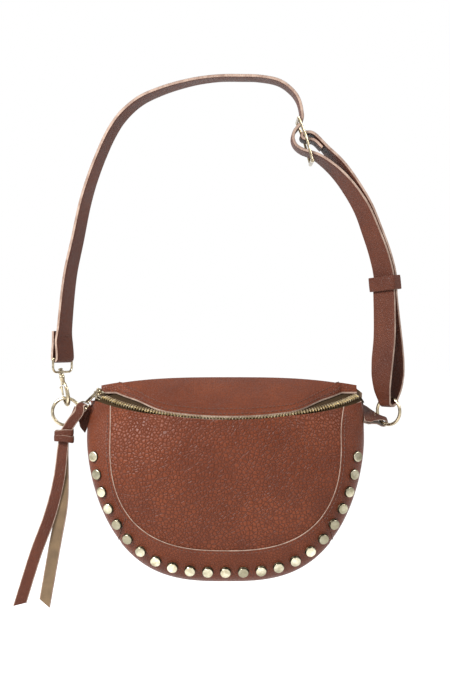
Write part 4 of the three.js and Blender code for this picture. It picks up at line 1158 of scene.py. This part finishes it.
def make_tab(node, grip, run, seam, narrow, wide):
    """A leather tab folded round the ring's wire, its two layers sewn into the side seam."""
    along = (Vector(seam) - grip).normalized()
    length = (Vector(seam) - grip).length
    height = Vector(run)
    height = (height - along * along.dot(height)).normalized()
    depth = height.cross(along)
    layer = [(length + 5, 1.2), (length - 2, 1.5), (length * 0.6, 2.2), (4, 2.9), (0, 3.6)]
    fold = [radians(a) for a in (100, 130, 160, 180, 200, 230, 260)]
    line = layer + [(-2.8 + 3.8 * cos(a), 3.8 * sin(a)) for a in fold] + [(x, -y) for x, y in reversed(layer)]
    stations = []
    for x, y in line:
        share = clamp((x - 1) / (length - 1), 0, 1)
        stations.append((grip + along * x + depth * y, height, lerp(narrow, wide, share ** 1.4) / 10))
    frames = spline(stations, 110)
    # the grain face has to end up on the outside of the fold
    middle, _, face, _ = frames[len(frames) // 2]
    materials = ("suede", "strap", "edge") if (grip - middle).dot(face) > 0 else ("strap", "suede", "edge")
    section, numbers = strip_section(10, 1.4, 0.3)
    stand(sweep(node + "_leather", frames, section, materials, numbers), "bag", [node])
    for letter, side in (("a", 1), ("b", -1)):
        start = grip + along * (length * 0.55) + depth * (side * 2.95)
        path = [start + height * k for k in (-5, -2.5, 0, 2.5, 5)]
        stand(stitches(f"{node}_leather_stitches_{letter}", path, [depth * side] * 5, 3.2, 2.4), "bag")


def make_tabs():
    grip = ring_point(LEFT_RING, 0, radians(-8))
    make_tab("left_tab", grip, (0.14, 0, 0.99), (-138.6, STRAP_Y, -337), 10, 31)
    a = radians(228)
    turn = -RIGHT_RING_TURN
    run = (-sin(a) * cos(turn), -sin(a) * sin(turn), cos(a))
    make_tab("right_tab", ring_point(RIGHT_RING, turn, a), run, (141, STRAP_Y, -335), 6, 29)


# ------------------------------------------------------------------ strap
CLASP_BAR = Vector((-162.5, STRAP_Y, -278.5))
CLASP_TWIST, LOOP_TWIST, LOOP_BOTTOM_Z = 57, 42, -326
SLIDE_BAR = Vector((79.4, STRAP_Y, -57.5))


def strip_wide(tx, tz, twist):
    """Width direction of a strip that runs along (tx, tz), turned about its run by twist degrees."""
    t, length = radians(twist), math.hypot(tx, tz)
    return Vector((cos(t) * tz / length, sin(t), -cos(t) * tx / length))


def strip_face(tx, tz, twist):
    """Face direction of the same strip."""
    t, length = radians(twist), math.hypot(tx, tz)
    return Vector((sin(t) * tz / length, -cos(t), -sin(t) * tx / length))


CLASP_WIDE, CLASP_FACE = strip_wide(0, 1, CLASP_TWIST), strip_face(0, 1, CLASP_TWIST)
LOOP_WIDE, LOOP_FACE = strip_wide(0, -1, LOOP_TWIST), strip_face(0, -1, LOOP_TWIST)

# x, z and twist in degrees, from above the clasp over the top to the adjuster
OVER_ROUTE = [
    (-160.5, -250, 65), (-155, -196, 69), (-147.5, -160, 71), (-140, -124, 73), (-133, -100, 75),
    (-124, -76, 76), (-113, -52.5, 77), (-102, -36.5, 79), (-85, -21.5, 82), (-65, -12, 85),
    (-45, -5.5, 87), (-25, -1, 89), (-5, 1.3, 90), (15, 1.5, 90), (35, 0.8, 90), (54, -3.2, 90),
    (66, -11.5, 90), (73, -21, 90), (76.2, -33, 90), (76.5, -41, 90),
]
# round the adjuster's middle bar
WEAVE_ROUTE = [
    (73.2, -47.5, 90), (68.8, -53.5, 90), (67.6, -60, 90), (70, -66.5, 90), (76, -71.4, 88),
    (84.5, -74.6, 86),
]
# from the adjuster down to the keeper, and how far the outer layer lies from this one
INNER_ROUTE = [
    (94, -79, 82), (110, -92, 74), (124, -108.5, 66), (137, -129.5, 60), (146, -152, 55), (154, -175, 50),
    (159, -197, 46),
]
LAYERS_APART = [11.5, 8.5, 5.6, 4.1, LAYER_PITCH, LAYER_PITCH, LAYER_PITCH + 0.2]
# the fold round the clasp's bar: height above the bar and distance in front of it
CLASP_FOLD = [
    (27, -1.9), (16, -2), (8, -2.7), (3, -3.1), (0, -3.1), (-2.2, -2.2), (-3.1, 0), (-2.2, 2.2), (0, 3.1),
    (3, 3.1), (8, 2.7), (16, 1.9),
]
# the sewn end round the adjuster's middle bar, as steps across and up from it
END_FOLD = [(7.5, 2.4), (2.4, 3.1), (-2, 2.2), (-3.1, -0.6), (-1.4, -3), (2.4, -3.6), (9, -4.6), (17, -12)]
# height, distance between the two layers of the loop, and width scale
LOOP_GAPS = [
    (-212, LAYER_PITCH + 0.4, 1), (-232, 6.5, 1), (-258, 12, 1), (-280, 19, 1), (-296, 22, 0.92),
    (-310, 20, 0.74), (-319, 14, 0.58),
]


def route_stations(route):
    """Places, width directions and face directions along a route."""
    stations = []
    for i, (x, z, twist) in enumerate(route):
        before, after = route[max(i - 1, 0)], route[min(i + 1, len(route) - 1)]
        tx, tz = after[0] - before[0], after[1] - before[1]
        stations.append((Vector((x, STRAP_Y, z)), strip_wide(tx, tz, twist), strip_face(tx, tz, twist)))
    return stations


def loop_middle(z):
    """Middle between the two layers of the loop that hangs from the keeper to the right ring."""
    share = clamp((-200 - z) / 60, 0, 1)
    return Vector((lerp(159.6, 163, share), STRAP_Y, z))


def strap_stations():
    """The whole strap in one run, from the fold at the clasp to the end sewn round the adjuster's bar."""
    def at_bar(rise, out):
        return CLASP_BAR + CLASP_FACE * out + Vector((0, 0, rise)), CLASP_WIDE, 1

    def layer(side):
        offsets = [(z, LOOP_FACE * (side * gap / 2), scale) for z, gap, scale in LOOP_GAPS]
        return [(loop_middle(z) + offset, LOOP_WIDE, scale) for z, offset, scale in offsets]

    stations = [at_bar(rise, out) for rise, out in CLASP_FOLD]
    stations += [(p, w, 1) for p, w, _ in route_stations(OVER_ROUTE + WEAVE_ROUTE)]
    inner = route_stations(INNER_ROUTE)
    stations += [(p, w, 1) for p, w, _ in inner]
    stations += layer(1)
    for out, rise in ((4.9, 1.6), (0, 0), (-4.9, 1.6)):
        stations.append((loop_middle(LOOP_BOTTOM_Z + rise) + LOOP_FACE * out, LOOP_WIDE, 0.48))
    stations += reversed(layer(-1))
    stations += reversed([(p - f * apart, w, 1) for (p, w, f), apart in zip(inner, LAYERS_APART)])
    end_wide = strip_wide(-0.7, 0.7, 90)
    stations += [(SLIDE_BAR + Vector((dx, 0, dz)), end_wide, 1) for dx, dz in END_FOLD]
    return stations


def make_strap():
    section, numbers = strip_section(STRAP_WIDTH, STRAP_THICK, 0.5, 0.12)
    frames = spline(strap_stations(), 1100)
    strap = sweep("strap_leather", frames, section, ("strap", "strap", "edge"), numbers)
    stand(strap, "strap", ["strap"])

    # two stitch rows on each face of the fold above the clasp
    for letter, out in (("f", 3.55), ("b", -3.6)):
        normal = CLASP_FACE * (1 if out > 0 else -1)
        for n, rise in enumerate((12, 22)):
            middle = CLASP_BAR + CLASP_FACE * out + Vector((0, 0, rise))
            path = [middle + CLASP_WIDE * (10.5 * k / 4) for k in range(-4, 5)]
            stand(stitches(f"fold_stitches_{letter}{n}", path, [normal] * 9, 3.0, 2.3, 0.4), "strap")


def make_adjuster():
    half, rail, steps = 15.8, 1.35, 40
    bars = [Vector((72.6, STRAP_Y, -40.8)), SLIDE_BAR, Vector((86.5, STRAP_Y, -83))]
    pieces = []
    for n, (p, radius) in enumerate(zip(bars, (1.4, 1.1, 1.9))):
        path = [p + Vector((0, y, 0)) for y in spread(-half, half, 10)]
        pieces.append(wire(f"bar_{n}", path, radius, "gold", sides=20))
    ends = [bars[0].lerp(bars[2], -0.02), *bars, bars[0].lerp(bars[2], 1.02)]
    # the rails are thinner towards both ends
    radii = [rail * min(1, 0.55 + 0.15 * min(k, steps - k)) for k in range(steps + 1)]
    for side in (-1, 1):
        path = []
        for t in spread(0, len(ends) - 1, steps):
            i = min(int(t), len(ends) - 2)
            path.append(ends[i].lerp(ends[i + 1], t - i) + Vector((0, side * half, 0)))
        pieces.append(wire("rail", path, rail, "gold", sides=20, radii=radii))
    stand(join("adjuster_frame", *pieces), "strap", ["tri_glide"])


def make_keeper():
    width, height, thickness = 14, 13.6, 1.5
    middle = loop_middle(-204) - LOOP_FACE * 0.1
    along = Vector((0.1, 0, -1)).normalized()
    wide = (LOOP_WIDE - along * along.dot(LOOP_WIDE)).normalized()
    thick = along.cross(wide)
    loop = rounded_box(STRAP_WIDTH + 4.8, height, 2.6, steps=6)
    frames = []
    count = len(loop)
    for k, (x, y) in enumerate(loop):
        nx, ny = loop[(k + 1) % count][0] - loop[k - 1][0], loop[(k + 1) % count][1] - loop[k - 1][1]
        direction = (wide * nx + thick * ny).normalized()
        frames.append((middle + wide * x + thick * y, along, direction.cross(along), 1))
    section, numbers = strip_section(width, thickness, 0.35, 0.15)
    keeper = sweep("keeper_leather", frames, section, ("strap", "strap", "edge"), numbers, closed=True)
    stand(keeper, "keeper", ["strap_keeper"])
    end = [middle - wide * 2 - thick * 7.7 + along * k for k in (-4.5, 0, 4.5)]
    stand(stitches("keeper_stitches", end, [thick * -1] * 3, 3.0, 2.2, 0.4), "keeper")


# ------------------------------------------------------------------ swivel clasp
SWIVEL = Vector((-164, STRAP_Y, -292.5))
HOOK_UP = Vector((-sin(radians(11)), 0, cos(radians(11))))
LEVEL_SIDE = Vector((cos(radians(-60)), sin(radians(-60)), 0))
HOOK_SIDE = (LEVEL_SIDE - HOOK_UP * HOOK_UP.dot(LEVEL_SIDE)).normalized()
HOOK_OUT = HOOK_UP.cross(HOOK_SIDE)
HOOK_EYE_Z, HOOK_HALF_WIDTH, HOOK_HALF_HEIGHT = -21.6, 6.15, 11.7


def hook_point(x, y, z):
    """Point in the hook's own directions: side, out and up from its swivel."""
    return SWIVEL + HOOK_SIDE * x + HOOK_OUT * y + HOOK_UP * z


def hook_arc(start, end, steps):
    """Angles along the hook's oval, and the points there."""
    angles = [radians(a) for a in spread(start, end, steps)]
    return angles, [
        hook_point(HOOK_HALF_WIDTH * cos(a), 0, HOOK_EYE_Z + HOOK_HALF_HEIGHT * sin(a)) for a in angles
    ]


def make_clasp_loop():
    half, low, corner = 14.3, SWIVEL.z - CLASP_BAR.z, 5
    path = []
    for cx, cz, start in ((1, 0, 0), (-1, 0, 90), (-1, 1, 180), (1, 1, 270)):
        r = 1.8 if cz == 0 else corner
        for k in range(9):
            a = radians(start + 90 * k / 8)
            x = cx * (half - r) + r * cos(a)
            z = (-r if cz == 0 else low + r) + r * sin(a)
            path.append(CLASP_BAR + CLASP_WIDE * x + Vector((0, 0, z)))
    loop = wire("loop_wire", path, 1.15, "gold", closed=True, sides=16)
    # the boss that the hook's stem turns in, with its bore
    bore = 1.55
    profile = [(bore, -1.5), (2.6, -1.5), (3.0, -1.1), (3.05, 0), (3.0, 1.1), (2.6, 1.5), (bore, 1.5)]
    boss = bored_tube("boss", hook_point, profile, bore, 28)
    stand(join("clasp_wire", loop, boss), "strap", ["clasp_loop"])


def make_clasp_hook():
    profile = [
        (0.2, 4.0), (1.6, 3.9), (2.3, 3.3), (2.3, 2.2), (1.9, 1.85), (1.2, 1.8), (1.2, -1.75), (2.0, -1.8),
        (2.6, -2.2), (2.75, -3.0), (2.3, -3.6), (2.75, -4.2), (2.8, -6.0), (2.4, -7.0), (2.3, -9.2),
        (1.6, -10.4),
    ]
    stem = lathe("stem", profile, frame_matrix(HOOK_SIDE, HOOK_OUT, HOOK_UP, SWIVEL), ["gold"], sides=28)
    # the hook runs from the barrel down one side, round the bottom and up to the gate's tip, where it thins
    steps, tip = 60, 4
    angles, path = hook_arc(130, -166, steps)
    radii = []
    for k, a in enumerate(angles):
        swell = (0.5 + 0.5 * cos(a + radians(40))) ** 2
        thin = lerp(1, 0.72, max(k - steps + tip, 0) / tip)
        radii.append(lerp(1.35, 2.1, swell) * thin)
    body = wire("hook_body", path, 1.5, "gold", sides=18, radii=radii)
    stand(join("clasp_hook_body", stem, body), "clasp", ["clasp_hook"])


def make_clasp_gate():
    path = hook_arc(139, 190, 20)[1]
    gate = wire("gate_bar", path, 1.05, "gold", sides=16, radii=[0.75] + [1.05] * 19 + [0.75])
    matrix = frame_matrix(HOOK_UP, HOOK_OUT, HOOK_UP.cross(HOOK_OUT), hook_point(-7.2, 0, -15.6))
    profile = [(0.3, 1.9), (1.2, 1.7), (1.5, 1.1), (1.2, 0.4), (0.9, -0.6)]
    knob = lathe("gate_knob", profile, matrix, ["gold"], sides=20)
    stand(join("clasp_gate_bar", gate, knob), "clasp_gate", ["clasp_gate"])


# ------------------------------------------------------------------ studs
def stud_axis(mesh):
    """Outward normal of a stud in the CAD model: that of its largest flat end, turned to the front."""
    areas = {}
    for face in mesh.polygons:
        key = tuple(round(c, 2) for c in face.normal)
        areas[key] = areas.get(key, 0) + face.area
    axis = Vector(max(areas, key=areas.get)).normalized()
    return axis if axis.y < 0 else -axis


def make_studs():
    r, h = STUD_RADIUS, STUD_HEIGHT
    # a spread foot and lower side in brass painted dark as the shade round the stud, then the bright flat
    # head with its rounded rim
    foot = [
        (3.6, -2.6), (3.7, -1.2), (r + 0.2, -0.9), (r + 0.35, -0.2), (r + 0.1, 0.5), (r - 0.2, 0.8), (r, 1.3),
    ]
    head = [
        (r + 0.05, h * 0.74), (r - 0.15, h * 0.88), (r - 0.5, h * 0.96), (r - 0.9, h - 0.02),
        (r - 2.6, h + 0.04), (1.0, h + 0.06), (0.05, h + 0.06),
    ]
    numbers = [1] * (len(foot) + 1) + [0] * (len(head) - 2)
    for n in range(1, 24):
        node = f"stud_{n:02d}"
        mesh = frame["nodes"][node].data
        corners = [v.co.copy() for v in mesh.vertices]
        middle = sum(corners, Vector()) / len(corners)
        normal = stud_axis(mesh)
        low = min((c - middle).dot(normal) for c in corners)
        seat = (middle - Vector((0, FRAME_Y, 0)) + normal * low) / MM
        # the head leans a little towards the front
        lean = (normal + Vector((0, -0.45, 0))).normalized()
        side = lean.orthogonal().normalized()
        matrix = frame_matrix(side, lean.cross(side), lean, seat)
        name = f"stud_head_{n:02d}"
        stud = lathe(name, foot + head, matrix, ("stud", "stud_foot_painted_shade"), numbers, sides=36, sharp=50)
        stand(stud, "bag", [node])


def main():
    make_stage()
    make_front()
    make_back()
    make_top()
    make_linings()
    make_zip()
    make_slider()
    make_puller()
    make_thong()
    make_ring("left_ring", LEFT_RING, 0)
    make_ring("right_ring", RIGHT_RING, -RIGHT_RING_TURN)
    make_tabs()
    make_strap()
    make_adjuster()
    make_keeper()
    make_clasp_loop()
    make_clasp_hook()
    make_clasp_gate()
    make_studs()


main()
